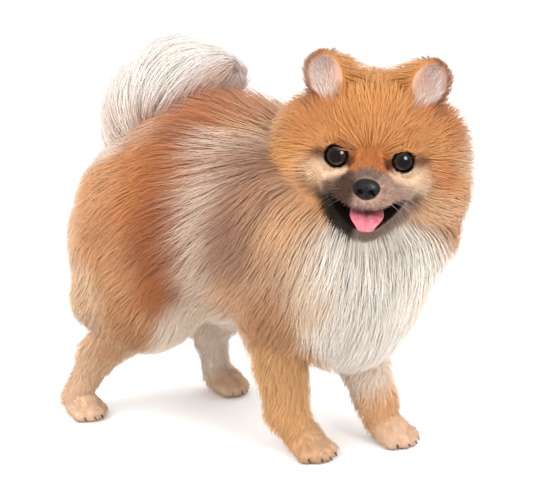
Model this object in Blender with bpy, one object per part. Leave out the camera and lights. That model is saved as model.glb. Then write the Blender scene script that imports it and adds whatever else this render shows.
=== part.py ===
"""A Pomeranian standing with its head turned to its right, as a life-size still model.

The dog faces -Y, its left side is +X and it stands on Z = 0. Lengths in the tables are centimetres,
and CM turns them into metres where a mesh is made.

Every body form is a tapered capsule with a flesh radius and a depth of coat at each end. The forms are
blended into one smooth field, which is read at three levels: the skin, a core part of the way up the
coat, and the outline out to the tips of the hair. Flat tapered locks are rooted in the core, follow the
lie of the coat and end at the outline. The nodes are parted by cuts that leave a gap of GAP.
"""

import itertools
import math

import bmesh
import bpy
import numpy as np
from mathutils import Matrix, Vector
from mathutils.kdtree import KDTree

CM = 0.01
GAP = 0.035
SHORT_EDGE = 0.008
SAME_PLACE, DRAW_BACK = 0.0002, 0.003
SKIN, CORE, TIPS = 0.0, 0.48, 1.0

# Locks of the long coat: the depth of their roots in the core, their height along the way from core to
# tips, their width and thickness there, and their length in depths of the coat that stands over the core
ROOT_DEPTH = 0.7
LOCK_LIFTS = (0.0, 0.66, 0.94, 0.98)
NECK_LIFTS = (0.0, 0.85, 0.98, 0.98)
LOCK_WIDTHS = (0.65, 1.0, 0.75)
LOCK_THICKNESS = 0.2
LOCK_LENGTH = {"neck": 1.8, "torso": 3.4, "thigh_right": 3.4, "thigh_left": 3.4, "tail": 2.4, "head": 3.4}
LOCK_SEED = {"neck": 11, "torso": 12, "thigh_right": 13, "thigh_left": 14, "tail": 15, "head": 16}
LOCK_SPACING = {"neck": 2.4, "torso": 3.4, "thigh_right": 3.0, "thigh_left": 3.0, "tail": 2.35, "head": 2.25}
LOCK_WIDTH = {"neck": 3.4, "torso": 4.0, "thigh_right": 3.3, "thigh_left": 3.3, "tail": 3.0, "head": 2.7}
LONGEST_LOCK = 7.0
LOCK_VARIETY, LOCK_SWAY, LOCK_TWIST = 0.15, 0.22, 0.3
HOLD_ROUNDS = 4
BORDER_MARGIN = 0.35

# Depths of coat that stay plain, the fan of the tail's plume, and how far the locks keep from the head
SHORT_COAT, LONG_COAT = 1.15, 0.8
PLUME_FAN = Vector((0, 0.3, 0.6))
HEAD_ROOM = 0.25
DEEP_UNDER_HEAD, FORE_OF_NAPE, CLEAR_OF_NAPE = -1.8, -1.0, 0.1
CLEAR_OF_MIDDLE, CLEAR_OF_TRUNK = 0.4, -1.2

# How finely each form is meshed, and the grown cutters that keep forms apart
CORE_TRIANGLES = {"trunk": 460, "head": 1560, "jaw": 240, "tail": 120}
TIPS_TRIANGLES = {"trunk": 1200, "head": 900, "tail": 240}
LEG_TRIANGLES, PAW_TRIANGLES = 230, 180
CUTTER_GAP, CLIP_GAP = GAP * 1.2, GAP * 0.2
PAW_HEIGHT = 2.0

# Driving sizes of the dog
WITHERS_Z = 19.4
RUMP_Z = 17.8
CHEST_Y = -4.6
RUMP_Y = 8.6
SPINE_Z = 14.8
EYE_MIDDLE = Vector((-3.75, -11.9, 22.45))
HEAD_TURN = 63.0
HEAD_PITCH = 5.0
HEAD_ROLL = 4.0
EYE_SPACING = 4.1
EYE_RADIUS = 0.92
NOSE_WIDTH = 1.85
TOE_REACH = (0.72, 1.0, 1.0, 0.72)
FOREPAW_TURN = {"right": -24.0, "left": -12.0}
HINDPAW_TURN = {"right": -16.0, "left": -6.0}
SOLE_Z = 0.0

# Where each foot stands: the middle of its sole
FOREPAW_AT = {"right": Vector((-2.6, -6.8, SOLE_Z)), "left": Vector((2.6, -10.5, SOLE_Z))}
HINDPAW_AT = {"right": Vector((-4.9, 11.3, SOLE_Z)), "left": Vector((4.7, 5.0, SOLE_Z))}
ELBOW_AT = {"right": Vector((-3.0, -4.4, 9.6)), "left": Vector((2.9, -6.0, 9.6))}
WRIST_AT = {"right": Vector((-2.7, -5.0, 3.0)), "left": Vector((2.7, -9.2, 3.0))}
HIP_AT = {"right": Vector((-2.6, 7.2, 14.2)), "left": Vector((2.6, 6.6, 14.2))}
KNEE_AT = {"right": Vector((-3.8, 6.0, 9.6)), "left": Vector((3.8, 2.4, 9.6))}
HOCK_AT = {"right": Vector((-4.5, 10.0, 4.9)), "left": Vector((4.5, 6.2, 4.9))}
TAIL_PATH = [
    Vector((0.2, 9.0, 17.4)),
    Vector((0.8, 9.9, 20.0)),
    Vector((1.3, 8.6, 22.3)),
    Vector((1.5, 6.4, 23.4)),
    Vector((1.6, 4.0, 23.8)),
]


def head_axes():
    """The head's left, forward and up directions, from its turn, pitch and roll."""
    turn, pitch, roll = (math.radians(v) for v in (HEAD_TURN, HEAD_PITCH, HEAD_ROLL))
    forward = Vector((-math.sin(turn) * math.cos(pitch), -math.cos(turn) * math.cos(pitch), math.sin(pitch)))
    level_left = Vector((0, 0, 1)).cross(forward).normalized()
    level_up = forward.cross(level_left)
    left = level_left * math.cos(roll) - level_up * math.sin(roll)
    up = level_up * math.cos(roll) + level_left * math.sin(roll)
    return left, forward, up


HEAD_LEFT, HEAD_FORWARD, HEAD_UP = head_axes()


def on_head(left, forward, up):
    """A point of the head, from its distances to the middle between the eyes."""
    return EYE_MIDDLE + HEAD_LEFT * left + HEAD_FORWARD * forward + HEAD_UP * up


def head_way(left, forward, up):
    """A direction given along the head's own axes."""
    return HEAD_LEFT * left + HEAD_FORWARD * forward + HEAD_UP * up


class Form:
    """A tapered capsule of flesh with its depth of coat and the way its hair lies."""

    def __init__(self, start, end, radii, coat, lie):
        self.start, self.end = np.array(start), np.array(end)
        self.radii, self.coat = radii, coat
        self.lie = np.array(lie, float)

    def reach(self, end, level):
        """Radius at one end: flesh and coat up to the level, but the core takes in all of a short coat."""
        coat = self.coat[end]
        return self.radii[end] + (coat if level == CORE and coat < SHORT_COAT else level * coat)

    def distance(self, points, level):
        """Signed distance of each point to the capsule at that level of the coat."""
        axis = self.end - self.start
        share = np.clip((points - self.start) @ axis / max(axis @ axis, 1e-9), 0, 1)
        radius_a, radius_b = self.reach(0, level), self.reach(1, level)
        gone = points - self.start - share[:, None] * axis
        return np.sqrt((gone * gone).sum(1)) - radius_a - share * (radius_b - radius_a)


class Body:
    """Forms blended into one smooth field."""

    def __init__(self, forms, blend):
        self.forms, self.blend = forms, blend

    def field(self, points, level):
        """Signed distance to the blended surface: negative inside."""
        each = np.array([form.distance(points, level) for form in self.forms])
        nearest = each.min(0)
        return nearest - self.blend * np.log(np.exp((nearest - each) / self.blend).sum(0))

    def normal(self, points, level):
        """Outward directions at the points."""
        step = 0.02
        sides = np.eye(3) * step
        slope = np.stack(
            [self.field(points + side, level) - self.field(points - side, level) for side in sides], 1
        )
        return slope / np.maximum(np.linalg.norm(slope, axis=1, keepdims=True), 1e-9)

    def lie(self, points):
        """The way the hair lies at the points, from the nearest forms."""
        each = np.array([form.distance(points, SKIN) for form in self.forms])
        weights = np.exp((each.min(0) - each) / 0.9)
        ways = np.array([form.lie for form in self.forms])
        mixed = (weights[:, :, None] * ways[:, None, :]).sum(0) / weights.sum(0)[:, None]
        return mixed / np.maximum(np.linalg.norm(mixed, axis=1, keepdims=True), 1e-9)


def both_sides(make):
    """The form that make gives for the right side, then for the left."""
    return [make("right", -1), make("left", 1)]


def torso_forms():
    """Ribcage, withers, loin and rump, with the upper arms and haunches that the coat covers."""
    back, down = (0, 0.85, -0.5), (0, 0.3, -0.95)
    forms = [
        Form((0, CHEST_Y, SPINE_Z), (0, 3.0, SPINE_Z + 0.3), (4.4, 3.8), (3.1, 3.2), back),
        Form((0, 3.0, SPINE_Z + 0.3), (0, RUMP_Y - 1.0, SPINE_Z), (3.4, 3.2), (3.2, 2.6), back),
        Form((0, CHEST_Y + 1.0, WITHERS_Z - 2.0), (0, 2.0, WITHERS_Z - 2.2), (2.4, 2.0), (5.2, 6.0), (0, 0.95, 0.2)),
        Form((0, 2.0, WITHERS_Z - 2.2), (0, RUMP_Y, RUMP_Z - 1.6), (2.0, 2.0), (5.6, 2.4), (0, 0.95, 0.1)),
        Form((0, RUMP_Y, SPINE_Z), (0, RUMP_Y + 0.2, SPINE_Z - 2.4), (2.8, 2.4), (2.2, 2.6), (0, 0.6, -0.8)),
    ]
    forms += both_sides(
        lambda side, sign: Form(
            (sign * 2.7, -5.4, 16.2), ELBOW_AT[side] + Vector((0, -1.4, 2.2)), (2.3, 2.0), (2.6, 2.2), down
        )
    )
    forms += both_sides(
        lambda side, sign: Form(HIP_AT[side], KNEE_AT[side], (2.9, 2.2), (2.3, 2.0), (sign * 0.1, 0.45, -0.85))
    )
    forms += both_sides(
        lambda side, sign: Form(
            HIP_AT[side] + Vector((sign * 0.6, 1.4, -2.0)), HOCK_AT[side] + Vector((0, -0.9, 4.4)),
            (1.9, 1.1), (2.3, 1.8), (sign * 0.1, 0.6, -0.8)
        )
    )
    return forms


def neck_forms():
    """The arched neck, turned to the right, its ruff at either side and the forechest under it."""
    nape, throat = (0, -5.0, 16.6), on_head(0, -6.4, -3.0)
    forms = [
        Form(nape, throat, (3.3, 3.0), (4.2, 3.4), (0.1, 0.6, -0.75)),
        Form((-0.1, -7.6, 13.4), (-0.6, -8.9, 16.4), (3.0, 2.8), (3.7, 4.0), (-0.1, -0.15, -1.0)),
        Form((0.4, -7.8, 10.4), (0.2, -7.4, 12.0), (1.9, 2.2), (3.1, 3.4), (0, -0.1, -1.0)),
    ]
    for sign in (-1, 1):
        start, end = on_head(sign * 3.2, -5.4, -2.0), on_head(sign * 2.2, -5.4, -5.0)
        forms.append(Form(start, end, (2.0, 2.2), (2.2, 2.6), head_way(sign * 0.5, -0.5, -0.7)))
    return forms


def head_forms():
    """Skull, brows, cheeks, bridge and muzzle."""
    away = head_way(0, -0.75, 0.35)
    forms = [
        Form(on_head(0, -4.4, 0.5), on_head(0, -4.0, 0.5), (3.2, 3.2), (1.9, 1.9), away),
        Form(on_head(0, -3.8, 1.2), on_head(0, -3.5, 0.8), (2.7, 2.7), (1.2, 1.0), away),
        Form(on_head(0, -0.7, 0.0), on_head(0, 1.5, -1.15), (0.95, 0.7), (0.25, 0.15), head_way(0, -0.8, 0.5)),
        Form(on_head(0, 0.0, -1.7), on_head(0, 2.2, -1.85), (1.6, 1.05), (0.35, 0.12), head_way(0, -1, -0.2)),
    ]
    for sign in (-1, 1):
        back = head_way(sign * 0.65, -0.7, -0.25)
        forms += [
            Form(on_head(sign * 1.2, -1.2, 1.2), on_head(sign * 2.4, -1.9, 1.1), (1.0, 1.1), (0.4, 0.6), away),
            Form(on_head(sign * 2.1, -1.0, -0.1), on_head(sign * 2.7, -1.6, -0.1), (0.95, 1.0), (0.1, 0.3), back),
            Form(on_head(sign * 2.4, -1.7, -1.4), on_head(sign * 2.7, -2.6, -1.8), (1.45, 1.7), (0.3, 1.0), back),
            Form(on_head(sign * 2.7, -4.6, -0.2), on_head(sign * 2.9, -4.8, -2.2), (2.2, 2.0), (2.4, 2.6), back),
            Form(on_head(sign * 0.75, 1.9, -2.3), on_head(sign * 1.9, 0.1, -2.0), (0.72, 0.85), (0.1, 0.25),
                 head_way(sign * 0.2, -1, -0.3)),
        ]
    return forms


def jaw_forms():
    """The dropped lower jaw: two branches that meet at the chin, and the floor between them."""
    down = head_way(0, -0.4, -0.9)
    floor = Form(on_head(0, -1.4, -3.7), on_head(0, 1.5, -4.25), (0.9, 0.6), (0.6, 0.25), down)
    return [floor] + [
        Form(on_head(sign * 1.7, -1.2, -3.0), on_head(sign * 0.35, 1.9, -4.2), (0.8, 0.52), (0.8, 0.25), down)
        for sign in (-1, 1)
    ]


def foreleg_forms(side):
    """Forearm from the elbow to the wrist, and the pastern."""
    elbow, wrist, paw = ELBOW_AT[side], WRIST_AT[side], FOREPAW_AT[side]
    down = (0, 0.25, -1)
    return [
        Form(elbow, wrist, (1.45, 0.95), (1.0, 0.6), down),
        Form(elbow + Vector((0, 0.9, -0.4)), wrist + Vector((0, 0.3, 1.8)), (0.8, 0.6), (1.1, 0.7), down),
        Form(wrist, paw + Vector((0, 0.7, 1.3)), (0.95, 0.95), (0.5, 0.3), down),
    ]


def hindleg_forms(side):
    """Shank from the knee to the hock, then the upright metatarsus."""
    knee, hock, paw = KNEE_AT[side], HOCK_AT[side], HINDPAW_AT[side]
    down = (0, 0.35, -1)
    return [
        Form(knee, hock, (1.9, 0.85), (1.1, 0.7), down),
        Form(hock, paw + Vector((0, 0.6, 1.3)), (0.8, 0.8), (0.5, 0.3), down),
    ]


def turned(turn, x, y, z):
    """A small step on the paw, turned with it about the vertical."""
    return Matrix.Rotation(math.radians(turn), 3, "Z") @ Vector((x, y, z))


def toe_places(length, width):
    """How far across and ahead each toe ends."""
    return [
        ((number - 1.5) / 1.5 * (width / 2 - 0.42), -length / 2 * reach + 0.2)
        for number, reach in enumerate(TOE_REACH)
    ]


def paw_forms(centre, length, width, turn):
    """A knuckled paw: its back, four toes side by side and the wrist stump above."""
    down = (0, -0.6, -0.8)
    rear, front = centre + turned(turn, 0, 0.5, 1.2), centre + turned(turn, 0, -0.5, 0.95)
    forms = [Form(rear, front, (1.0, 0.85), (0.25, 0.2), down)]
    for across, ahead in toe_places(length, width):
        start = centre + turned(turn, across * 0.75, 0.0, 0.75)
        end = centre + turned(turn, across, ahead, 0.48)
        forms.append(Form(start, end, (0.5, 0.46), (0.12, 0.1), down))
    return forms


def claw(centre, across, ahead, turn):
    """A short curved claw, rooted in the end of a toe."""
    path = [
        centre + turned(turn, across, ahead - 0.28, 0.50),
        centre + turned(turn, across, ahead - 0.66, 0.42),
        centre + turned(turn, across, ahead - 0.84, 0.20),
    ]
    return tube("claw", path, (0.17, 0.13, 0.04), 4)


def tail_forms():
    """The tail's bone and muscle, curled forward over the back, with its plume."""
    widths = (1.0, 0.85, 0.7, 0.6, 0.45)
    plume = (1.2, 1.8, 3.5, 4.0, 3.2)
    return [
        Form(start, end, widths[n : n + 2], plume[n : n + 2], (end - start).normalized() + PLUME_FAN)
        for n, (start, end) in enumerate(zip(TAIL_PATH, TAIL_PATH[1:]))
    ]


def surface_net(field, low, high, cell):
    """Vertices and quads of the field's zero surface, on a grid, then pulled onto it."""
    counts = [int(math.ceil((b - a) / cell)) + 1 for a, b in zip(low, high)]
    lines = [a + cell * np.arange(n) for a, n in zip(low, counts)]
    grid = np.stack(np.meshgrid(*lines, indexing="ij"), -1)
    value = field(grid.reshape(-1, 3)).reshape(counts)
    inside = value < 0
    number = np.full([n - 1 for n in counts], -1)
    corner = [(i, j, k) for i in (0, 1) for j in (0, 1) for k in (0, 1)]
    part = {c: inside[tuple(slice(o, o + n - 1) for o, n in zip(c, counts))] for c in corner}
    mixed = sum(p.astype(int) for p in part.values())
    crossed = (mixed > 0) & (mixed < 8)
    where = np.argwhere(crossed)
    number[crossed] = np.arange(len(where))
    total, weight = np.zeros((len(where), 3)), np.zeros(len(where))
    for c in corner:
        for axis in range(3):
            if c[axis]:
                continue
            d = tuple(v + (a == axis) for a, v in enumerate(c))
            at_c, at_d = value[tuple((where + c).T)], value[tuple((where + d).T)]
            cut = (at_c < 0) != (at_d < 0)
            share = np.where(cut, at_c / np.where(cut, at_c - at_d, 1), 0)
            spot = where + c + share[:, None] * np.eye(3)[axis]
            total[cut] += spot[cut]
            weight[cut] += 1
    points = np.array(low) + cell * total / weight[:, None]
    quads = []
    for axis in range(3):
        near = tuple(slice(0, -1) if a == axis else slice(1, -1) for a in range(3))
        far = tuple(slice(1, None) if a == axis else slice(1, -1) for a in range(3))
        one, two = inside[near], inside[far]
        others = [a for a in range(3) if a != axis]
        for flag, turned in ((one & ~two, False), (~one & two, True)):
            base = np.argwhere(flag)
            base[:, others] += 1
            ring = []
            for da, db in ((-1, -1), (0, -1), (0, 0), (-1, 0)):
                shift = np.zeros(3, int)
                shift[others[0]], shift[others[1]] = da, db
                ring.append(number[tuple((base + shift).T)])
            quad = np.stack(ring, 1)
            quads.append(quad[:, ::-1] if turned != (axis == 1) else quad)
    return points, np.concatenate(quads)


def settle(points, field, rounds=3):
    """Moves points onto the field's zero surface along its slope."""
    step = 0.02
    for _ in range(rounds):
        value = field(points)
        slope = np.stack([(field(points + d) - field(points - d)) / (2 * step) for d in np.eye(3) * step], 1)
        points = points - slope * (value / np.maximum((slope * slope).sum(1), 0.25))[:, None]
    return points


def mesh_object(name, points, faces):
    """A new object from points in centimetres and faces."""
    mesh = bpy.data.meshes.new(name)
    mesh.from_pydata([tuple(float(v) * CM for v in p) for p in points], [], [tuple(map(int, f)) for f in faces])
    mesh.update()
    made = bpy.data.objects.new(name, mesh)
    bpy.context.scene.collection.objects.link(made)
    return made


def blend_object(name, field, low, high, cell):
    """A closed object on the zero surface of a field inside a box."""
    points, quads = surface_net(field, low, high, cell)
    made = mesh_object(name, settle(points, field), quads)
    turn_faces_out(made)
    return made


def turn_faces_out(made):
    """Recalculates the faces of a closed mesh so that they point outwards."""
    work = bmesh.new()
    work.from_mesh(made.data)
    bmesh.ops.remove_doubles(work, verts=work.verts, dist=1e-6)
    bmesh.ops.recalc_face_normals(work, faces=work.faces)
    bmesh.ops.triangulate(work, faces=work.faces)
    work.to_mesh(made.data)
    work.free()


def take_evaluated(made):
    """Replaces the object's mesh by what its modifiers give, and removes them."""
    graph = bpy.context.evaluated_depsgraph_get()
    graph.update()
    mesh = bpy.data.meshes.new_from_object(made.evaluated_get(graph))
    made.modifiers.clear()
    made.data = mesh


def boolean(made, other, operation):
    """Applies one Boolean with an object or a collection, and removes what it used."""
    modifier = made.modifiers.new(operation.title(), "BOOLEAN")
    modifier.operation = operation
    modifier.solver = "MANIFOLD"
    if isinstance(other, bpy.types.Collection):
        modifier.operand_type = "COLLECTION"
        modifier.collection = other
        used = list(other.objects)
    else:
        modifier.object = other
        used = [other]
    take_evaluated(made)
    for thing in used:
        bpy.data.objects.remove(thing)
    if isinstance(other, bpy.types.Collection):
        bpy.data.collections.remove(other)


def copy_of(made, grow=0.0):
    """A copy of the object, swollen by so many centimetres along its normals."""
    other = bpy.data.objects.new(made.name + "_copy", made.data.copy())
    bpy.context.scene.collection.objects.link(other)
    if grow:
        work = bmesh.new()
        work.from_mesh(other.data)
        work.normal_update()
        for vertex in work.verts:
            vertex.co += vertex.normal * grow * CM
        work.to_mesh(other.data)
        work.free()
    return other


def close_short_edges(work, limit):
    """Collapses edges shorter than the limit wherever the surface stays closed and simple."""
    short = [edge for edge in work.edges if edge.calc_length() < limit]
    for edge in short:
        if not edge.is_valid or len(edge.link_faces) != 2:
            continue
        one, two = edge.verts
        near_one = {link.other_vert(one) for link in one.link_edges}
        near_two = {link.other_vert(two) for link in two.link_edges}
        across = {vertex for face in edge.link_faces for vertex in face.verts} - {one, two}
        if near_one & near_two == across:
            bmesh.ops.pointmerge(work, verts=[one, two], merge_co=(one.co + two.co) / 2)


def turn_doubled_edges(work):
    """Where more than two faces share an edge, turns the diagonal of two of them that lie in one plane."""
    for edge in [edge for edge in work.edges if len(edge.link_faces) > 2]:
        faces = list(edge.link_faces)
        for one, two in itertools.combinations(faces, 2):
            loop = next(loop for loop in one.loops if loop.edge == edge)
            a, b, c = loop.vert, loop.link_loop_next.vert, loop.link_loop_prev.vert
            d = next(vertex for vertex in two.verts if vertex not in (a, b))
            forward = any(other.edge == edge and other.vert == b for other in two.loops)
            flat = one.normal.dot(two.normal) > 0.999 and forward
            wide = (a.co - c.co).cross(d.co - c.co).dot((d.co - c.co).cross(b.co - c.co)) > 0
            if flat and wide and c is not d and not work.edges.get((c, d)):
                bmesh.ops.delete(work, geom=[one, two], context="FACES_ONLY")
                work.faces.new((c, a, d))
                work.faces.new((d, b, c))
                break


def drop_folds(work):
    """Removes pairs of faces that lie back to back on the same three points."""
    seen, folded = {}, []
    for face in work.faces:
        key = frozenset(face.verts)
        if key in seen:
            folded += [seen.pop(key), face]
        else:
            seen[key] = face
    bmesh.ops.delete(work, geom=folded, context="FACES_ONLY")
    bmesh.ops.delete(work, geom=[edge for edge in work.edges if not edge.link_faces], context="EDGES")


def part_touching(work):
    """Draws points that share their place with another point a little back towards their own neighbours."""
    tree = KDTree(len(work.verts))
    for vertex in work.verts:
        tree.insert(vertex.co, vertex.index)
    tree.balance()
    shared = {vertex for vertex in work.verts if len(tree.find_range(vertex.co, SAME_PLACE * CM)) > 1}
    steps = {}
    for vertex in shared:
        others = [edge.other_vert(vertex) for edge in vertex.link_edges]
        free = [other.co for other in others if other not in shared]
        if free:
            middle = sum(free, Vector()) / len(free)
            steps[vertex] = (middle - vertex.co).normalized() * DRAW_BACK * CM
    for vertex, step in steps.items():
        vertex.co += step


def keep_largest(made):
    """Keeps only the largest closed surface of the object."""
    work = bmesh.new()
    work.from_mesh(made.data)
    bmesh.ops.triangulate(work, faces=work.faces, quad_method="FIXED", ngon_method="EAR_CLIP")
    for _ in range(2):
        turn_doubled_edges(work)
        close_short_edges(work, SHORT_EDGE * CM)
        drop_folds(work)
    todo, pieces = set(work.verts), []
    while todo:
        stack, piece = [todo.pop()], []
        while stack:
            vertex = stack.pop()
            piece.append(vertex)
            for edge in vertex.link_edges:
                other = edge.other_vert(vertex)
                if other in todo:
                    todo.remove(other)
                    stack.append(other)
        pieces.append(piece)
    pieces.sort(key=len)
    for piece in pieces[:-1]:
        bmesh.ops.delete(work, geom=piece, context="VERTS")
    work.verts.index_update()
    part_touching(work)
    work.to_mesh(made.data)
    work.free()


def half_space(name, point, normal, reach=60.0):
    """A large block whose one face is the plane through the point, on the side away from the normal."""
    normal = Vector(normal).normalized()
    work = bmesh.new()
    bmesh.ops.create_cube(work, size=reach * CM)
    made = mesh_object(name, [], [])
    work.to_mesh(made.data)
    work.free()
    turn = normal.to_track_quat("Z", "Y").to_matrix().to_4x4()
    made.data.transform(Matrix.Translation((Vector(point) - normal * reach / 2) * CM) @ turn)
    return made


def part_by_plane(made, point, normal):
    """Keeps what lies under the plane, short of it by half the gap."""
    normal = Vector(normal).normalized()
    boolean(made, half_space("under", Vector(point) - normal * GAP / 2, normal), "INTERSECT")


def ellipsoid(name, centre, radii, axes, segments=20, rings=12):
    """An ellipsoid with its three radii along the given axes."""
    work = bmesh.new()
    bmesh.ops.create_uvsphere(work, u_segments=segments, v_segments=rings, radius=1.0)
    made = mesh_object(name, [], [])
    work.to_mesh(made.data)
    work.free()
    frame = Matrix([[axes[c][r] * radii[c] * CM for c in range(3)] for r in range(3)]).to_4x4()
    made.data.transform(Matrix.Translation(Vector(centre) * CM) @ frame)
    turn_faces_out(made)
    return made


def tube(name, path, radii, sides=8):
    """A closed tube along a path of points, with a radius at each."""
    points, faces = [], []
    for n, centre in enumerate(path):
        before, after = path[max(n - 1, 0)], path[min(n + 1, len(path) - 1)]
        across = (after - before).normalized().to_track_quat("Z", "X")
        for s in range(sides):
            angle = 2 * math.pi * s / sides
            points.append(centre + across @ Vector((math.cos(angle), math.sin(angle), 0)) * radii[n])
    for n in range(len(path) - 1):
        for s in range(sides):
            a, b = n * sides + s, n * sides + (s + 1) % sides
            faces.append((a, b, b + sides, a + sides))
    faces.append(tuple(reversed(range(sides))))
    faces.append(tuple(range((len(path) - 1) * sides, len(path) * sides)))
    made = mesh_object(name, points, faces)
    turn_faces_out(made)
    return made


HEAD_AXES = (HEAD_LEFT, HEAD_FORWARD, HEAD_UP)
HEAD = Body(head_forms(), 0.25)
JAW = Body(jaw_forms(), 0.25)
TRUNK = Body(torso_forms() + neck_forms(), 0.55)
TAIL = Body(tail_forms(), 0.4)


# The umbrellas that part the nodes: apex, the way that they open, and the angle from it to their side
NAPE = (on_head(0, -2.6, -2.4), head_way(0, -0.5, -0.87), 75.0)
CHEST = (Vector((0, -8.2, 17.0)), Vector((0, 0.87, -0.5)), 54.0)
HAUNCHES = {
    "right": (Vector((-1.2, 7.8, 16.0)), Vector((-0.30, 0.10, -1.0)), 38.0),
    "left": (Vector((1.2, 7.0, 16.0)), Vector((0.30, -0.10, -1.0)), 38.0),
}
SIDES = {"right": -1, "left": 1}

# Face: the eye openings, the mouth, the nose and the ears, in the head's own axes
EYE_DEPTH, EYE_HEIGHT = -0.28, -0.06
EYE_OUT = 0.20
LID_THICKNESS = 0.13
SOCKET_GAP, TONGUE_GAP = 0.055, 0.07
MOUTH_CENTRE, MOUTH_SIZE = (0, 1.1, -3.05), (3.1, 2.7, 0.8)
MOUTH_TILT = -20.0
NOSE_CENTRE, NOSE_SIZE = (0, 3.0, -1.6), (NOSE_WIDTH / 2, 0.62, 0.74)
EAR_BASE, EAR_MIDDLE = (2.95, -3.0, 3.0), (3.5, -3.0, 4.75)


def umbrella(name, apex, way, angle, inset=0.0, reach=50.0):
    """A cone that opens along the way from its apex, drawn in from its surface by the inset."""
    slope, way = math.radians(angle), Vector(way).normalized()
    work = bmesh.new()
    bmesh.ops.create_cone(
        work, cap_ends=True, segments=40, radius1=reach * math.tan(slope) * CM, radius2=0, depth=reach * CM
    )
    made = mesh_object(name, [], [])
    work.to_mesh(made.data)
    work.free()
    turn = (-way).to_track_quat("Z", "Y").to_matrix().to_4x4()
    start = Vector(apex) + way * (inset / math.sin(slope) + reach / 2)
    made.data.transform(Matrix.Translation(start * CM) @ turn)
    turn_faces_out(made)
    return made


def level_object(name, body, level, cell, offset=0.0):
    """The blended body at a level of its coat, swollen by the offset."""
    ends = np.array([point for form in body.forms for point in (form.start, form.end)])
    reach = max(r + level * c for form in body.forms for r, c in zip(form.radii, form.coat)) + 0.8 + offset
    low, high = ends.min(0) - reach, ends.max(0) + reach
    return blend_object(name, lambda points: body.field(points, level) - offset, low, high, cell)


def keep_inside(made, region):
    """Cuts the object to an umbrella, short of it by half the gap."""
    boolean(made, umbrella("inside", *region, inset=GAP / 2), "INTERSECT")


def keep_outside(made, region):
    """Cuts an umbrella away, and half the gap round it."""
    boolean(made, umbrella("outside", *region, inset=-GAP / 2), "DIFFERENCE")


def outside_by(points, region):
    """How far each point is outside an umbrella, negative inside, and the way straight out of it."""
    apex, way, angle = np.array(region[0]), np.array(Vector(region[1]).normalized()), math.radians(region[2])
    gone = points - apex
    along = gone @ way
    side = gone - along[:, None] * way
    across = np.maximum(np.linalg.norm(side, axis=1), 1e-9)
    out = side / across[:, None] * math.cos(angle) - way * math.sin(angle)
    return across * math.cos(angle) - along * math.sin(angle), out


def hold(points, inside, outside, margin):
    """Moves points that stray over the borders of their node back by the margin."""
    for region in inside:
        value, out = outside_by(points, region)
        points = points - out * np.maximum(value + margin, 0)[:, None]
    for region in outside:
        value, out = outside_by(points, region)
        points = points + out * np.maximum(margin - value, 0)[:, None]
    return points


def spread(points, spacing, draw):
    """Points picked in a drawn order, each at least the spacing from all picked before it."""
    picked = []
    for number in draw.permutation(len(points)):
        if all(np.linalg.norm(points[number] - points[other]) > spacing for other in picked):
            picked.append(number)
    return points[picked]


def unit(vectors):
    """The vectors, each with length one."""
    return vectors / np.maximum(np.linalg.norm(vectors, axis=1, keepdims=True), 1e-9)


def even_points(body):
    """Points spread evenly over the core of a body."""
    fine = level_object("fine", body, CORE, 0.5)
    points = points_of(fine)
    bpy.data.objects.remove(fine)
    return points


def lock_collection(name, body, ground, inside=(), outside=()):
    """Closed flat tapered locks in a collection, rooted under the core at points spread over the ground."""
    draw = np.random.default_rng(LOCK_SEED[name])
    roots = spread(ground, LOCK_SPACING[name], draw)
    length = np.minimum(coat_over_core(body, roots) * LOCK_LENGTH[name], LONGEST_LOCK)
    length *= 1 + LOCK_VARIETY * draw.uniform(-1, 1, len(roots))
    widths = LOCK_WIDTH[name] * (1 + LOCK_VARIETY * draw.uniform(-1, 1, len(roots)))
    sway = LOCK_SWAY * draw.uniform(-1, 1, len(roots))
    twist = LOCK_TWIST * draw.uniform(-1, 1, len(roots))
    lifts = NECK_LIFTS if name == "neck" else LOCK_LIFTS
    at, rings = roots, []
    for number, lift in enumerate(lifts):
        normal = body.normal(at, CORE)
        lie = body.lie(at)
        way = unit(lie - normal * (lie * normal).sum(1, keepdims=True) * 0.9)
        across = unit(np.cross(way, normal))
        way = unit(way + across * sway[:, None] * number)
        if number:
            at = at + way * (length / (len(lifts) - 1))[:, None]

        def height(points, lift=lift, number=number):
            core = body.field(points, CORE)
            return core + ROOT_DEPTH if number == 0 else core + lift * (body.field(points, TIPS) - core)

        for _ in range(HOLD_ROUNDS):
            at = hold(settle(at, height, 1), inside, outside, BORDER_MARGIN)
        turn, lean = np.cos(twist)[:, None], np.sin(twist)[:, None]
        rings.append((at, across * turn + normal * lean, normal * turn - across * lean))
    locks = bpy.data.collections.new(name)
    for number in range(len(roots)):
        points = []
        for (centre, across, normal), wide in zip(rings, LOCK_WIDTHS):
            side = across[number] * widths[number] * wide / 2
            top = normal[number] * widths[number] * wide * LOCK_THICKNESS / 2
            points += [centre[number] + step for step in (side - top, top, -side - top)]
        points.append(rings[-1][0][number])
        faces = [(2, 1, 0)]
        for ring in range(len(LOCK_WIDTHS) - 1):
            for corner in range(3):
                a, b = ring * 3 + corner, ring * 3 + (corner + 1) % 3
                faces.append((a, b, b + 3, a + 3))
        last = 3 * len(LOCK_WIDTHS)
        faces += [(last - 3 + corner, last - 3 + (corner + 1) % 3, last) for corner in range(3)]
        lock = mesh_object("lock", points, faces)
        turn_faces_out(lock)
        bpy.context.scene.collection.objects.unlink(lock)
        locks.objects.link(lock)
    return locks


def fuse(locks):
    """One object of all locks of a collection."""
    first = locks.objects[0]
    locks.objects.unlink(first)
    bpy.context.scene.collection.objects.link(first)
    boolean(first, locks, "UNION")
    return first


def remove_all():
    """Empties the scene."""
    for thing in list(bpy.data.objects):
        bpy.data.objects.remove(thing)


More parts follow.
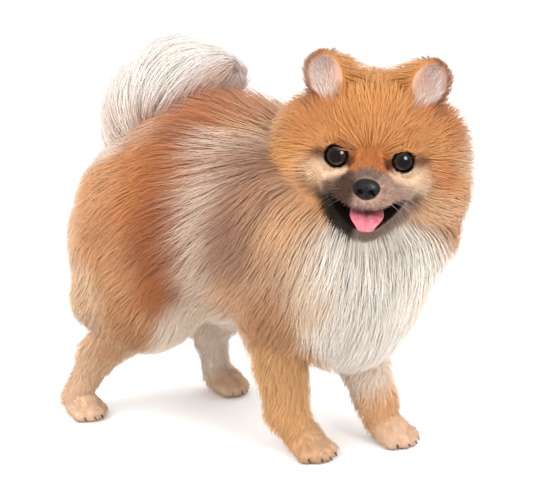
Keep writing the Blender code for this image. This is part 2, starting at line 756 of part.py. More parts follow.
def head_ellipsoid(name, centre, radii, tilt=0.0, segments=24, rings=14):
    """An ellipsoid set in the head's axes, its forward axis tilted up by so many degrees."""
    lean = math.radians(tilt)
    forward = HEAD_FORWARD * math.cos(lean) + HEAD_UP * math.sin(lean)
    up = HEAD_UP * math.cos(lean) - HEAD_FORWARD * math.sin(lean)
    return ellipsoid(name, on_head(*centre), radii, (HEAD_LEFT, forward, up), segments, rings)


def eye(side, grow=0.0, segments=14, rings=8):
    """An eyeball, or the hollow it sits in when it is grown."""
    radius = EYE_RADIUS + grow
    centre = (SIDES[side] * EYE_SPACING / 2, EYE_DEPTH, EYE_HEIGHT)
    return head_ellipsoid("eye_" + side, centre, (radius,) * 3, 0.0, segments, rings)


def eye_opening(side):
    """The almond between the lids, as a cutter along the gaze."""
    sign = SIDES[side]
    gaze = head_way(sign * EYE_OUT, 1.0, 0.04).normalized()
    across = (HEAD_LEFT - gaze * HEAD_LEFT.dot(gaze)).normalized()
    up = gaze.cross(-across).normalized()
    if up.dot(HEAD_UP) < 0:
        up = -up
    centre = on_head(sign * EYE_SPACING / 2, EYE_DEPTH, EYE_HEIGHT) + gaze * 1.7
    return ellipsoid("opening_" + side, centre, (1.0, 1.6, 0.92), (across, gaze, up), 16, 9)


def ear(side, grow=0.0):
    """A cupped ear: an egg with its front scooped out."""
    sign = SIDES[side]
    lean = (Vector(EAR_MIDDLE) - Vector(EAR_BASE)).normalized()
    up = head_way(sign * lean.x, lean.y, lean.z).normalized()
    face = head_way(sign * 0.35, 1.0, 0.05)
    face = (face - up * face.dot(up)).normalized()
    across = up.cross(face)
    middle = on_head(sign * EAR_MIDDLE[0], EAR_MIDDLE[1], EAR_MIDDLE[2])
    axes = (across, face, up)
    outer = ellipsoid("ear_" + side, middle, (1.55 + grow, 0.85 + grow, 1.85 + grow), axes, 14, 8)
    if not grow:
        cup = ellipsoid("cup", middle + face * 0.75 + up * 0.12, (1.2, 0.95, 1.45), axes, 12, 8)
        boolean(outer, cup, "DIFFERENCE")
        keep_largest(outer)
    return outer


def nose(grow=0.0):
    """The leather of the nose, with two nostrils."""
    made = head_ellipsoid("nose", NOSE_CENTRE, tuple(size + grow for size in NOSE_SIZE), -8.0, 14, 8)
    if not grow:
        for sign in (-1, 1):
            hole = head_ellipsoid("hole", (sign * 0.37, 3.6, -1.7), (0.21, 0.35, 0.17), 10.0, 7, 5)
            boolean(made, hole, "DIFFERENCE")
        keep_largest(made)
    return made


def mouth():
    """The open mouth between upper and lower lip, as a cutter."""
    return head_ellipsoid("mouth", MOUTH_CENTRE, MOUTH_SIZE, MOUTH_TILT, 18, 8)


def tongue():
    """The tongue, lying in the lower jaw and over its lip, with a groove along its middle."""
    spine = [(-1.0, -3.2), (0.6, -3.4), (1.9, -3.55), (2.6, -3.72), (2.98, -4.0), (3.1, -4.32)]
    half_widths = [0.8, 1.1, 1.15, 1.1, 0.9, 0.5]
    half_depths = [0.28, 0.3, 0.27, 0.24, 0.2, 0.13]
    sides, points, faces = 16, [], []
    for n, (forward, up) in enumerate(spine):
        before, after = spine[max(n - 1, 0)], spine[min(n + 1, len(spine) - 1)]
        along = Vector((0, after[0] - before[0], after[1] - before[1])).normalized()
        above = Vector((0, -along.z, along.y))
        for s in range(sides):
            angle = 2 * math.pi * s / sides
            across, rise = math.cos(angle), math.sin(angle)
            groove = 0.45 * math.exp(-((across / 0.3) ** 2)) if rise > 0 else 0.0
            spot = Vector((0.15 + across * half_widths[n], forward, up)) + above * half_depths[n] * (rise - groove)
            points.append(on_head(*spot))
    for n in range(len(spine) - 1):
        for s in range(sides):
            a, b = n * sides + s, n * sides + (s + 1) % sides
            faces.append((a, b, b + sides, a + sides))
    faces.append(tuple(reversed(range(sides))))
    faces.append(tuple(range(len(points) - sides, len(points))))
    made = mesh_object("tongue", points, faces)
    turn_faces_out(made)
    return made


def thin_out(made, triangles):
    """Collapses edges where the surface bends least, down to about that many triangles."""
    count = sum(len(face.vertices) - 2 for face in made.data.polygons)
    if count > triangles:
        modifier = made.modifiers.new("Thin", "DECIMATE")
        modifier.ratio = triangles / count
        take_evaluated(made)
    return made


def points_of(made):
    """The object's points in centimetres."""
    return np.array([vertex.co for vertex in made.data.vertices]) / CM


def coat_over_core(body, points):
    """How deep the coat stands over the core at the points."""
    return body.field(points, CORE) - body.field(points, TIPS)


def build():
    """All nodes: plain where the fur is short, and a core with locks where the coat is long."""
    remove_all()
    trunk = thin_out(level_object("trunk", TRUNK, CORE, 0.7), CORE_TRIANGLES["trunk"])
    tips = thin_out(level_object("tips", TRUNK, TIPS, 1.0), TIPS_TRIANGLES["trunk"])
    head = thin_out(level_object("head", HEAD, CORE, 0.3), CORE_TRIANGLES["head"])
    head_tips = thin_out(level_object("head_tips", HEAD, TIPS, 0.45), TIPS_TRIANGLES["head"])
    jaw = thin_out(level_object("lower_jaw", JAW, TIPS, 0.25), CORE_TRIANGLES["jaw"])
    tail = thin_out(level_object("tail", TAIL, CORE, 0.6), CORE_TRIANGLES["tail"])
    tongue_cutter = copy_of(tongue(), TONGUE_GAP)
    trunk_cutter = copy_of(trunk, CUTTER_GAP)
    tips_cutter = copy_of(tips, CUTTER_GAP)
    jaw_cutter = copy_of(jaw, CUTTER_GAP)
    tail_cutter = copy_of(tail, CUTTER_GAP)
    head_cutter = copy_of(head_tips, HEAD_ROOM)
    boolean(head_cutter, umbrella("under", *NAPE, inset=GAP / 2), "DIFFERENCE")
    tail_clip = thin_out(level_object("tail_clip", TAIL, TIPS, 1.0, 0.4), TIPS_TRIANGLES["tail"])
    boolean(tail_clip, copy_of(tips, CLIP_GAP), "DIFFERENCE")

    # Legs, cut where they meet the core of the trunk
    leg_cutters = []
    for side in SIDES:
        for name, forms, paw in (
            ("foreleg_" + side, foreleg_forms(side), FOREPAW_AT[side]),
            ("shank_" + side, hindleg_forms(side), HINDPAW_AT[side]),
        ):
            leg = thin_out(level_object(name, Body(forms, 0.3), TIPS, 0.45), LEG_TRIANGLES)
            leg_cutters.append(copy_of(leg, CUTTER_GAP))
            boolean(leg, copy_of(trunk_cutter), "DIFFERENCE")
            part_by_plane(leg, paw + Vector((0, 0, PAW_HEIGHT)), (0, 0, -1))
            keep_largest(leg)
        for name, paw, length, width, turn in (
            ("forepaw_" + side, FOREPAW_AT[side], 3.4, 3.0, FOREPAW_TURN[side]),
            ("hindpaw_" + side, HINDPAW_AT[side], 3.2, 2.6, HINDPAW_TURN[side]),
        ):
            forms = paw_forms(paw, length, width, turn)
            foot = thin_out(level_object(name, Body(forms, 0.12), TIPS, 0.2), PAW_TRIANGLES)
            claws = bpy.data.collections.new("claws")
            for across, ahead in toe_places(length, width):
                one = claw(paw, across, ahead, turn)
                bpy.context.scene.collection.objects.unlink(one)
                claws.objects.link(one)
            boolean(foot, claws, "UNION")
            boolean(foot, half_space("floor", (0, 0, 0), (0, 0, -1)), "INTERSECT")
            part_by_plane(foot, paw + Vector((0, 0, PAW_HEIGHT)), (0, 0, 1))
            keep_largest(foot)

    # Neck, torso and thighs: the core of the trunk with the locks rooted in each share of it
    ground = even_points(TRUNK)
    behind = outside_by(ground, CHEST)[0] < 0
    under_head = (HEAD.field(ground, TIPS) < DEEP_UNDER_HEAD) & (outside_by(ground, NAPE)[0] > FORE_OF_NAPE)
    in_haunch = {side: (outside_by(ground, HAUNCHES[side])[0] < 0) & behind for side in SIDES}
    shares = {"neck": ~behind & ~under_head}
    for side, sign in SIDES.items():
        shares["thigh_" + side] = in_haunch[side] & (ground[:, 0] * sign > CLEAR_OF_MIDDLE)
    shares["torso"] = behind & ~in_haunch["right"] & ~in_haunch["left"]
    borders = {
        "neck": ((), (CHEST,)),
        "torso": ((CHEST,), tuple(HAUNCHES.values())),
        "thigh_right": ((CHEST, HAUNCHES["right"]), ()),
        "thigh_left": ((CHEST, HAUNCHES["left"]), ()),
    }
    for name, share in shares.items():
        made = copy_of(trunk)
        made.name = name
        locks = fuse(lock_collection(name, TRUNK, ground[share], *borders[name]))
        for cutter in leg_cutters:
            boolean(locks, copy_of(cutter), "DIFFERENCE")
        boolean(locks, copy_of(tail_cutter), "DIFFERENCE")
        boolean(locks, copy_of(tail_clip), "DIFFERENCE")
        boolean(made, locks, "UNION")
        for region in borders[name][0]:
            keep_inside(made, region)
        for region in borders[name][1]:
            keep_outside(made, region)
        if name == "neck":
            for cutter in (head_cutter, jaw_cutter, tongue_cutter):
                boolean(made, copy_of(cutter), "DIFFERENCE")
            boolean(made, mouth(), "DIFFERENCE")
        if name.startswith("thigh"):
            part_by_plane(made, (0, 0, 0), (-SIDES[name[6:]], 0, 0))
        keep_largest(made)

    # Tail: its locks end over the trunk's tips, and its core meets the trunk's core
    ground = even_points(TAIL)
    clear = TRUNK.field(ground, TIPS) > CLEAR_OF_TRUNK
    locks = fuse(lock_collection("tail", TAIL, ground[clear]))
    boolean(locks, copy_of(tips_cutter), "DIFFERENCE")
    boolean(tail, copy_of(trunk_cutter), "DIFFERENCE")
    boolean(tail, locks, "UNION")
    keep_largest(tail)

    # Head: locks behind the face, then the lids, and room for the eyes, ears, nose, mouth and lower jaw
    ground = even_points(HEAD)
    deep = coat_over_core(HEAD, ground) > LONG_COAT
    clear = outside_by(ground, NAPE)[0] > CLEAR_OF_NAPE
    locks = fuse(lock_collection("head", HEAD, ground[deep & clear], (), (NAPE,)))
    boolean(head, locks, "UNION")
    keep_outside(head, NAPE)
    for side in SIDES:
        boolean(head, eye(side, LID_THICKNESS + SOCKET_GAP, 12, 6), "UNION")
    for side in SIDES:
        boolean(head, eye(side, SOCKET_GAP, 12, 6), "DIFFERENCE")
        boolean(head, eye_opening(side), "DIFFERENCE")
        boolean(head, ear(side, GAP), "DIFFERENCE")
    boolean(head, nose(GAP), "DIFFERENCE")
    boolean(head, mouth(), "DIFFERENCE")
    boolean(head, copy_of(tongue_cutter), "DIFFERENCE")
    boolean(head, copy_of(jaw_cutter), "DIFFERENCE")
    keep_largest(head)

    boolean(jaw, mouth(), "DIFFERENCE")
    boolean(jaw, tongue_cutter, "DIFFERENCE")
    keep_largest(jaw)
    nose()
    for side in SIDES:
        eye(side)
        ear(side)
    helpers = [trunk, tips, head_tips, trunk_cutter, tips_cutter, jaw_cutter, tail_cutter, head_cutter, tail_clip]
    for helper in helpers + leg_cutters:
        bpy.data.objects.remove(helper)


# Colour and roughness of each kind of node
COAT_ORANGE, COAT_CREAM, COAT_PALE = (0.47, 0.22, 0.085), (0.80, 0.66, 0.52), (0.78, 0.70, 0.64)
LOOKS = {
    "eye": ((0.012, 0.008, 0.006), 0.08),
    "nose": ((0.022, 0.018, 0.018), 0.35),
    "tongue": ((0.72, 0.22, 0.27), 0.4),
    "lower_jaw": ((0.045, 0.028, 0.020), 0.8),
    "neck": (COAT_CREAM, 0.9),
    "tail": (COAT_PALE, 0.9),
    "ear": ((0.62, 0.46, 0.38), 0.85),
    "forepaw": ((0.62, 0.42, 0.28), 0.9),
    "hindpaw": ((0.66, 0.50, 0.40), 0.9),
}


def paint(made):
    """Gives the object its own Principled material and smooth shading."""
    colour, roughness = next(
        (look for start, look in LOOKS.items() if made.name.startswith(start)), (COAT_ORANGE, 0.9)
    )
    material = bpy.data.materials.new(made.name)
    material.use_nodes = True
    shader = material.node_tree.nodes["Principled BSDF"]
    shader.inputs["Base Color"].default_value = (*colour, 1.0)
    shader.inputs["Roughness"].default_value = roughness
    shader.inputs["Metallic"].default_value = 0.0
    made.data.materials.clear()
    made.data.materials.append(material)
    made.data.shade_smooth()


def stand_on_origin(nodes):
    """Parents the nodes to an empty and shifts it, so that the middle of their box is over the origin."""
    corners = [vertex.co for made in nodes for vertex in made.data.vertices]
    low = [min(co[axis] for co in corners) for axis in range(3)]
    high = [max(co[axis] for co in corners) for axis in range(3)]
    dog = bpy.data.objects.new("pomeranian", None)
    bpy.context.scene.collection.objects.link(dog)
    dog.location = (-(low[0] + high[0]) / 2, -(low[1] + high[1]) / 2, -low[2])
    for made in nodes:
        made.parent = dog


build()
NODES = [made for made in bpy.context.scene.objects if made.type == "MESH"]
for node in NODES:
    paint(node)
stand_on_origin(NODES)
bpy.context.view_layer.update()
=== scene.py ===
"""The looks of a life-size standing Pomeranian, laid out as a Blender add-on and run as a script.

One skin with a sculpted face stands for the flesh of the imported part. A coat of fine closed tufts grows
from it along the lie of the hair, and eyes, nose, tongue, claws and whiskers are pieces of their own.
The forms, sizes and directions are the part's own, in centimetres, with the dog facing -Y and its left
side at +X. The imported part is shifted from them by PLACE. Skin and coat take their markings from the same
named zones.
"""

import math
from collections import namedtuple

import bmesh
import bpy
import numpy as np
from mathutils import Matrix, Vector
from mathutils.kdtree import KDTree


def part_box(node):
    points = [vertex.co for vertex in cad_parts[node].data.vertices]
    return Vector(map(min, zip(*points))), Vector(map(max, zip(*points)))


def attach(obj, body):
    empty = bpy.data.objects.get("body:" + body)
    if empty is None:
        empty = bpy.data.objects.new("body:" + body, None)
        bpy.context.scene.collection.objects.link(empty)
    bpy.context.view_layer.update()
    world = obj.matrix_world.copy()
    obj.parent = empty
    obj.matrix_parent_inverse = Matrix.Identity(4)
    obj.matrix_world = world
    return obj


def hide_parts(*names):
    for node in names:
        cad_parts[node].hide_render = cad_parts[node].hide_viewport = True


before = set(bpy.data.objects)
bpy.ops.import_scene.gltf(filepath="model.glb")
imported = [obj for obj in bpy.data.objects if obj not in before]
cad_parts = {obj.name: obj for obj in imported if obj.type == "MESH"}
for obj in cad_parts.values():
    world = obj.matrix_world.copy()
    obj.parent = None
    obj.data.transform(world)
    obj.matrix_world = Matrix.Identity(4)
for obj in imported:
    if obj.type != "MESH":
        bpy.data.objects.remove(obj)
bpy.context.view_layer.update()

bl_info = {
    "name": "Standing Pomeranian",
    "version": (1, 0, 0),
    "blender": (4, 5, 0),
    "location": "3D View > Sidebar > Pomeranian",
    "description": "Dresses the packed dog with skin, coat, eyes, nose, tongue, claws and whiskers",
    "category": "Add Mesh",
}

CM = 0.01
SIDES = {"right": -1, "left": 1}

# The head: the middle between the eyes, and how it turns to the dog's right, pitches and rolls
EYE_MIDDLE = np.array((-3.75, -11.9, 22.45))
HEAD_TURN, HEAD_PITCH, HEAD_ROLL = 63.0, 5.0, 4.0
EYE_SPACING, EYE_RADIUS = 4.1, 0.92
EYE_DEPTH, EYE_HEIGHT, EYE_OUT = -0.28, -0.06, 0.20
EYE_WIDTH = {"right": 1.02, "left": 0.9}

# The feet, and the joints that the legs run through
FOREPAW_AT = {"right": (-2.6, -6.8, 0.0), "left": (2.6, -10.5, 0.0)}
HINDPAW_AT = {"right": (-4.9, 11.3, 0.0), "left": (4.7, 5.0, 0.0)}
FOREPAW_SIZE, HINDPAW_SIZE = (3.4, 3.0), (3.2, 2.6)
FOREPAW_TURN = {"right": -24.0, "left": -12.0}
HINDPAW_TURN = {"right": -16.0, "left": -6.0}
ELBOW_AT = {"right": (-3.0, -4.4, 9.6), "left": (2.9, -6.0, 9.6)}
WRIST_AT = {"right": (-2.7, -5.0, 3.0), "left": (2.7, -9.2, 3.0)}
HIP_AT = {"right": (-2.6, 7.2, 14.2), "left": (2.6, 6.6, 14.2)}
KNEE_AT = {"right": (-3.8, 6.0, 9.6), "left": (3.8, 2.4, 9.6)}
HOCK_AT = {"right": (-4.5, 10.0, 4.9), "left": (4.5, 6.2, 4.9)}
TOE_REACH = (0.72, 1.0, 1.0, 0.72)
TAIL_PATH = ((0.2, 9.0, 17.4), (0.8, 9.9, 20.0), (1.3, 8.6, 22.3), (1.5, 6.4, 23.4), (1.6, 4.0, 23.8))
PLUME_FAN = np.array((0, 0.3, 0.6))

# How far up the coat the skin lies, how far face and ears reach, and the mouth, nose and ears in the
# head's own axes
SKIN_LEVEL = 0.42
FACE_REACH, EAR_REACH, FAR_OFF = 9.5, 2.6, 9.0
MOUTH_CENTRE, MOUTH_SIZE, MOUTH_TILT = (0, 1.1, -3.05), (3.1, 2.7, 0.8), -20.0
NOSE_CENTRE, NOSE_SIZE, NOSE_TILT = (0, 3.0, -1.6), (0.88, 0.62, 0.72), -8.0
EAR_BASE, EAR_MIDDLE = (2.85, -3.0, 3.0), (3.3, -3.0, 4.7)
EAR_SIZE, EAR_CUP = (1.45, 0.85, 1.8), (1.12, 0.95, 1.4)
CREASE_DEPTHS = (0.12, 0.10, 0.05)


def vec(*values):
    """A point or way as an array."""
    return np.array(values, float)


def far_from(points, place):
    """How far each point is from a place."""
    return np.linalg.norm(points - place, axis=1)


def within(value, edge, width):
    """1 where a value is well under an edge and 0 past it, with an even step of a width between."""
    return np.clip((edge - value) / width, 0, 1)


def unit(vectors):
    """The vectors, each with length one."""
    vectors = np.asarray(vectors, float)
    return vectors / np.maximum(np.linalg.norm(vectors, axis=-1, keepdims=True), 1e-9)


def head_axes():
    """The head's left, forward and up directions, from its turn, pitch and roll."""
    turn, pitch, roll = (math.radians(v) for v in (HEAD_TURN, HEAD_PITCH, HEAD_ROLL))
    forward = vec(-math.sin(turn) * math.cos(pitch), -math.cos(turn) * math.cos(pitch), math.sin(pitch))
    level_left = unit(np.cross((0, 0, 1), forward))
    level_up = np.cross(forward, level_left)
    left = level_left * math.cos(roll) - level_up * math.sin(roll)
    up = level_up * math.cos(roll) + level_left * math.sin(roll)
    return np.stack((left, forward, up))


HEAD_AXES = head_axes()


def on_head(left, forward, up):
    """A point of the head, from its distances to the middle between the eyes."""
    return EYE_MIDDLE + vec(left, forward, up) @ HEAD_AXES


def head_way(left, forward, up):
    """A direction given along the head's own axes."""
    return vec(left, forward, up) @ HEAD_AXES


def in_head(points):
    """The points in the head's own axes."""
    return (points - EYE_MIDDLE) @ HEAD_AXES.T


def eye_place(side):
    """The middle of an eyeball."""
    return on_head(SIDES[side] * EYE_SPACING / 2, EYE_DEPTH, EYE_HEIGHT)


def find_place():
    """The shift from the dog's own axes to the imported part, in metres, read from an eye."""
    low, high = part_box("eye_right")
    return np.array((low + high) / 2) - eye_place("right") * CM


PLACE = find_place()


def to_part(points):
    """Points in the dog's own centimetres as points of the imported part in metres."""
    return np.asarray(points) * CM + PLACE


LIE_BLEND = 0.9


class Body:
    """Tapered capsules of flesh and coat blended into one smooth form.

    Each row of the table is start, end, flesh radii, depths of coat, and the way the hair lies.
    """

    def __init__(self, rows, blend):
        self.start = np.array([row[0] for row in rows], float)
        self.axis = np.array([row[1] for row in rows], float) - self.start
        self.flesh = np.array([row[2] for row in rows], float)
        self.coat = np.array([row[3] for row in rows], float)
        self.ways = unit([row[4] for row in rows])
        self.blend = blend
        self.length = np.maximum((self.axis**2).sum(1), 1e-9)

    def reach(self, points):
        """How far each point is from each form's spine, along it from 0 to 1, and the way out of it."""
        gone = points[:, None, :] - self.start
        share = np.clip((gone * self.axis).sum(2) / self.length, 0, 1)
        gone -= share[:, :, None] * self.axis
        return np.sqrt((gone * gone).sum(2)), share, gone

    def mixed(self, far, share, level):
        """The blended distance, and how much each form counts in it."""
        radius = self.flesh + level * self.coat
        each = far - radius[:, 0] - share * (radius[:, 1] - radius[:, 0])
        nearest = each.min(1)
        weight = np.exp((nearest[:, None] - each) / self.blend)
        total = weight.sum(1)
        return nearest - self.blend * np.log(total), weight / total[:, None], each

    def field(self, points, level):
        """Signed distance to the form at a level of its coat: negative inside."""
        far, share, _ = self.reach(points)
        return self.mixed(far, share, level)[0]

    def survey(self, points):
        """Distance at the flesh and at the tips, outward normal, and the lie of the hair."""
        far, share, gone = self.reach(points)
        flesh, _, each = self.mixed(far, share, 0.0)
        tips, weight, _ = self.mixed(far, share, 1.0)
        normal = unit((weight[:, :, None] * gone / np.maximum(far, 1e-9)[:, :, None]).sum(1))
        near = np.exp((each.min(1)[:, None] - each) / LIE_BLEND)
        return flesh, tips, normal, unit(near @ self.ways)


def torso_rows():
    """Ribcage, withers, loin and rump, with the upper arms and haunches."""
    back, down = (0, 0.85, -0.5), (0, 0.3, -0.95)
    rows = [
        ((0, -4.6, 14.8), (0, 3.0, 15.1), (4.4, 3.8), (3.1, 3.2), back),
        ((0, 3.0, 15.1), (0, 7.6, 14.8), (3.4, 3.2), (3.2, 2.6), back),
        ((0, -3.6, 17.4), (0, 2.0, 17.2), (2.4, 2.0), (5.2, 6.0), (0, 0.95, 0.2)),
        ((0, 2.0, 17.2), (0, 8.6, 16.2), (2.0, 2.0), (5.6, 2.4), (0, 0.95, 0.1)),
        ((0, 8.6, 14.8), (0, 8.8, 12.4), (2.8, 2.4), (2.2, 2.6), (0, 0.6, -0.8)),
    ]
    for side, sign in SIDES.items():
        elbow, hip, knee, hock = (vec(*at[side]) for at in (ELBOW_AT, HIP_AT, KNEE_AT, HOCK_AT))
        rows += [
            ((sign * 2.7, -5.4, 16.2), elbow + (0, -1.4, 2.2), (2.3, 2.0), (2.6, 2.2), down),
            (hip, knee, (2.9, 2.2), (2.3, 2.0), (sign * 0.1, 0.45, -0.85)),
            (
                hip + (sign * 0.6, 1.4, -2.0), hock + (0, -0.9, 4.4), (1.9, 1.1), (2.3, 1.8),
                (sign * 0.1, 0.6, -0.8),
            ),
        ]
    return rows


def neck_rows():
    """The arched neck, turned to the right, its ruff at either side and the forechest under it."""
    rows = [
        ((0, -5.0, 16.6), on_head(0, -6.4, -3.0), (3.3, 3.0), (4.2, 3.4), (0.1, 0.6, -0.75)),
        ((-0.1, -7.6, 13.4), (-0.6, -8.9, 16.4), (3.0, 2.8), (3.7, 4.0), (-0.1, -0.15, -1.0)),
        ((0.4, -7.8, 10.4), (0.2, -7.4, 12.0), (1.9, 2.2), (3.1, 3.4), (0, -0.1, -1.0)),
    ]
    for sign in (-1, 1):
        start, end = on_head(sign * 3.2, -5.4, -2.0), on_head(sign * 2.2, -5.4, -5.0)
        rows.append((start, end, (2.0, 2.2), (2.2, 2.6), head_way(sign * 0.5, -0.5, -0.7)))
    return rows


def head_rows():
    """Skull, brows, cheeks, bridge and muzzle."""
    away = head_way(0, -0.75, 0.35)
    rows = [
        (on_head(0, -4.4, 0.5), on_head(0, -4.0, 0.5), (3.2, 3.2), (1.9, 1.9), away),
        (on_head(0, -3.8, 1.2), on_head(0, -3.5, 0.8), (2.7, 2.7), (1.2, 1.0), away),
        (on_head(0, -0.7, 0.0), on_head(0, 1.5, -1.15), (0.95, 0.7), (0.25, 0.15), head_way(0, -0.8, 0.5)),
        (on_head(0, 0.0, -1.7), on_head(0, 2.2, -1.85), (1.6, 1.05), (0.35, 0.12), head_way(0, -1, -0.2)),
    ]
    for sign in (-1, 1):
        back = head_way(sign * 0.65, -0.7, -0.25)
        muzzle = head_way(sign * 0.2, -1, -0.3)
        rows += [
            (on_head(sign * 1.2, -1.2, 1.2), on_head(sign * 2.4, -1.9, 1.1), (1.0, 1.1), (0.4, 0.6), away),
            (on_head(sign * 2.1, -1.0, -0.1), on_head(sign * 2.7, -1.6, -0.1), (0.95, 1.0), (0.1, 0.3), back),
            (on_head(sign * 2.4, -1.7, -1.4), on_head(sign * 2.7, -2.6, -1.8), (1.45, 1.7), (0.3, 1.0), back),
            (on_head(sign * 2.7, -4.6, -0.2), on_head(sign * 2.9, -4.8, -2.2), (2.2, 2.0), (2.4, 2.6), back),
            (
                on_head(sign * 0.75, 1.9, -2.3), on_head(sign * 1.9, 0.1, -2.0), (0.72, 0.85), (0.1, 0.25),
                muzzle,
            ),
        ]
    return rows


def jaw_rows():
    """The dropped lower jaw: two branches that meet at the chin, and the floor between them."""
    down = head_way(0, -0.4, -0.9)
    rows = [(on_head(0, -1.4, -3.7), on_head(0, 1.5, -4.25), (0.9, 0.6), (0.6, 0.25), down)]
    for sign in (-1, 1):
        start, end = on_head(sign * 1.7, -1.2, -3.0), on_head(sign * 0.35, 1.9, -4.2)
        rows.append((start, end, (0.8, 0.52), (0.8, 0.25), down))
    return rows


def turned(turn, x, y, z):
    """A small step on a paw, turned with it about the vertical."""
    angle = math.radians(turn)
    return vec(x * math.cos(angle) - y * math.sin(angle), x * math.sin(angle) + y * math.cos(angle), z)


def toe_places(length, width):
    """How far across and ahead each toe ends."""
    return [
        ((number - 1.5) / 1.5 * (width / 2 - 0.42), -length / 2 * reach + 0.2)
        for number, reach in enumerate(TOE_REACH)
    ]


def paw_rows(centre, size, turn):
    """A knuckled paw: its back and four toes side by side."""
    centre, down = vec(*centre), (0, -0.6, -0.8)
    rear, front = centre + turned(turn, 0, 0.5, 1.2), centre + turned(turn, 0, -0.5, 0.95)
    rows = [(rear, front, (1.0, 0.85), (0.25, 0.2), down)]
    for across, ahead in toe_places(*size):
        start = centre + turned(turn, across * 0.75, 0.0, 0.75)
        rows.append((start, centre + turned(turn, across, ahead, 0.48), (0.5, 0.46), (0.12, 0.1), down))
    return rows


def leg_rows(side):
    """The forearm and pastern, then the shank and metatarsus of one side."""
    elbow, wrist, fore = vec(*ELBOW_AT[side]), vec(*WRIST_AT[side]), vec(*FOREPAW_AT[side])
    knee, hock, hind = vec(*KNEE_AT[side]), vec(*HOCK_AT[side]), vec(*HINDPAW_AT[side])
    down, back = (0, 0.25, -1), (0, 0.35, -1)
    foreleg = [
        (elbow, wrist, (1.45, 0.95), (1.0, 0.6), down),
        (elbow + (0, 0.9, -0.4), wrist + (0, 0.3, 1.8), (0.8, 0.6), (1.1, 0.7), down),
        (wrist, fore + (0, 0.7, 1.3), (0.95, 0.95), (0.5, 0.3), down),
    ]
    shank = [
        (knee, hock, (1.9, 0.85), (1.1, 0.7), back),
        (hock, hind + (0, 0.6, 1.3), (0.8, 0.8), (0.5, 0.3), back),
    ]
    return foreleg, shank


def tail_rows():
    """The tail, curled forward over the back, with its plume."""
    path = [vec(*point) for point in TAIL_PATH]
    widths, plume = (1.0, 0.85, 0.7, 0.6, 0.45), (1.2, 1.8, 3.5, 4.0, 3.2)
    return [
        (start, end, widths[n : n + 2], plume[n : n + 2], unit(end - start) + PLUME_FAN)
        for n, (start, end) in enumerate(zip(path, path[1:]))
    ]


def make_bodies():
    """Every form of the dog by name."""
    bodies = {
        "trunk": Body(torso_rows() + neck_rows(), 0.55),
        "head": Body(head_rows(), 0.25),
        "jaw": Body(jaw_rows(), 0.25),
        "tail": Body(tail_rows(), 0.4),
    }
    for side in SIDES:
        foreleg, shank = leg_rows(side)
        bodies["foreleg_" + side] = Body(foreleg, 0.3)
        bodies["shank_" + side] = Body(shank, 0.3)
        bodies["forepaw_" + side] = Body(paw_rows(FOREPAW_AT[side], FOREPAW_SIZE, FOREPAW_TURN[side]), 0.12)
        bodies["hindpaw_" + side] = Body(paw_rows(HINDPAW_AT[side], HINDPAW_SIZE, HINDPAW_TURN[side]), 0.12)
    return bodies


BODIES = make_bodies()


def in_parts(work, points, size=20000):
    """Runs the work on slices of the points and joins what it gives."""
    return np.concatenate([work(points[n : n + size]) for n in range(0, len(points), size)])


# The face: sockets, lids, mouth, nose seat, ears and the folds round the eyes


def egg(points, centre, axes, size):
    """About how far points are outside an ellipsoid, negative inside."""
    local = (points - centre) @ np.asarray(axes).T / np.asarray(size)
    far = np.linalg.norm(local, axis=1)
    slope = np.linalg.norm(local / np.asarray(size), axis=1) / np.maximum(far, 1e-6)
    return (far - 1) / np.maximum(slope, 1e-6)


def join(one, two, soft):
    """The union of two forms, with a soft crease."""
    part = np.clip(0.5 + 0.5 * (two - one) / soft, 0, 1)
    return two + (one - two) * part - soft * part * (1 - part)


def carve(one, two, soft):
    """The first form with the second taken out of it, with a soft edge."""
    return -join(-one, two, soft)


def tilted(degrees):
    """The head's axes, with forward tilted up by so many degrees."""
    lean = math.radians(degrees)
    left, forward, up = HEAD_AXES
    return np.stack(
        (left, forward * math.cos(lean) + up * math.sin(lean), up * math.cos(lean) - forward * math.sin(lean))
    )


def mouth_egg(points, grow=0.0):
    """The open mouth between upper and lower lip."""
    return egg(points, on_head(*MOUTH_CENTRE), tilted(MOUTH_TILT), vec(*MOUTH_SIZE) + grow)


def nose_egg(points, grow=0.0):
    """The leather of the nose."""
    return egg(points, on_head(*NOSE_CENTRE), tilted(NOSE_TILT), vec(*NOSE_SIZE) + grow)


def lid_opening(points, side):
    """The opening between the lids of one eye."""
    axes, wide = gaze_axes(side), EYE_WIDTH[side]
    return egg(points, eye_place(side) + axes[1] * 1.7, axes, (wide, 1.6, wide * 0.93))


def gaze_axes(side):
    """Across, along the gaze, and up, for one eye."""
    gaze = unit(head_way(SIDES[side] * EYE_OUT, 1.0, 0.04))
    across = unit(HEAD_AXES[0] - gaze * (HEAD_AXES[0] @ gaze))
    up = np.cross(across, gaze)
    return np.stack((across, gaze, up * np.sign(up @ HEAD_AXES[2])))


def ear_axes(side):
    """Across, out of the cup, and along one ear, with its middle."""
    sign = SIDES[side]
    lean = unit(vec(*EAR_MIDDLE) - vec(*EAR_BASE))
    up = unit(head_way(sign * lean[0], lean[1], lean[2]))
    face = head_way(sign * 0.35, 1.0, 0.05)
    face = unit(face - up * (face @ up))
    return np.stack((np.cross(up, face), face, up)), on_head(sign * EAR_MIDDLE[0], *EAR_MIDDLE[1:])


def ear_cup(points, side, grow=0.0):
    """The hollow of one ear."""
    axes, middle = ear_axes(side)
    return egg(points, middle + axes[1] * 0.75 + axes[2] * 0.12, axes, vec(*EAR_CUP) + grow)


def ear_field(points, side, shrink=0.08):
    """One cupped ear, thinner than its solid by the fur on both its faces."""
    axes, middle = ear_axes(side)
    outer = egg(points, middle, axes, vec(*EAR_SIZE) - shrink)
    return carve(outer, ear_cup(points, side, shrink / 2), 0.08)


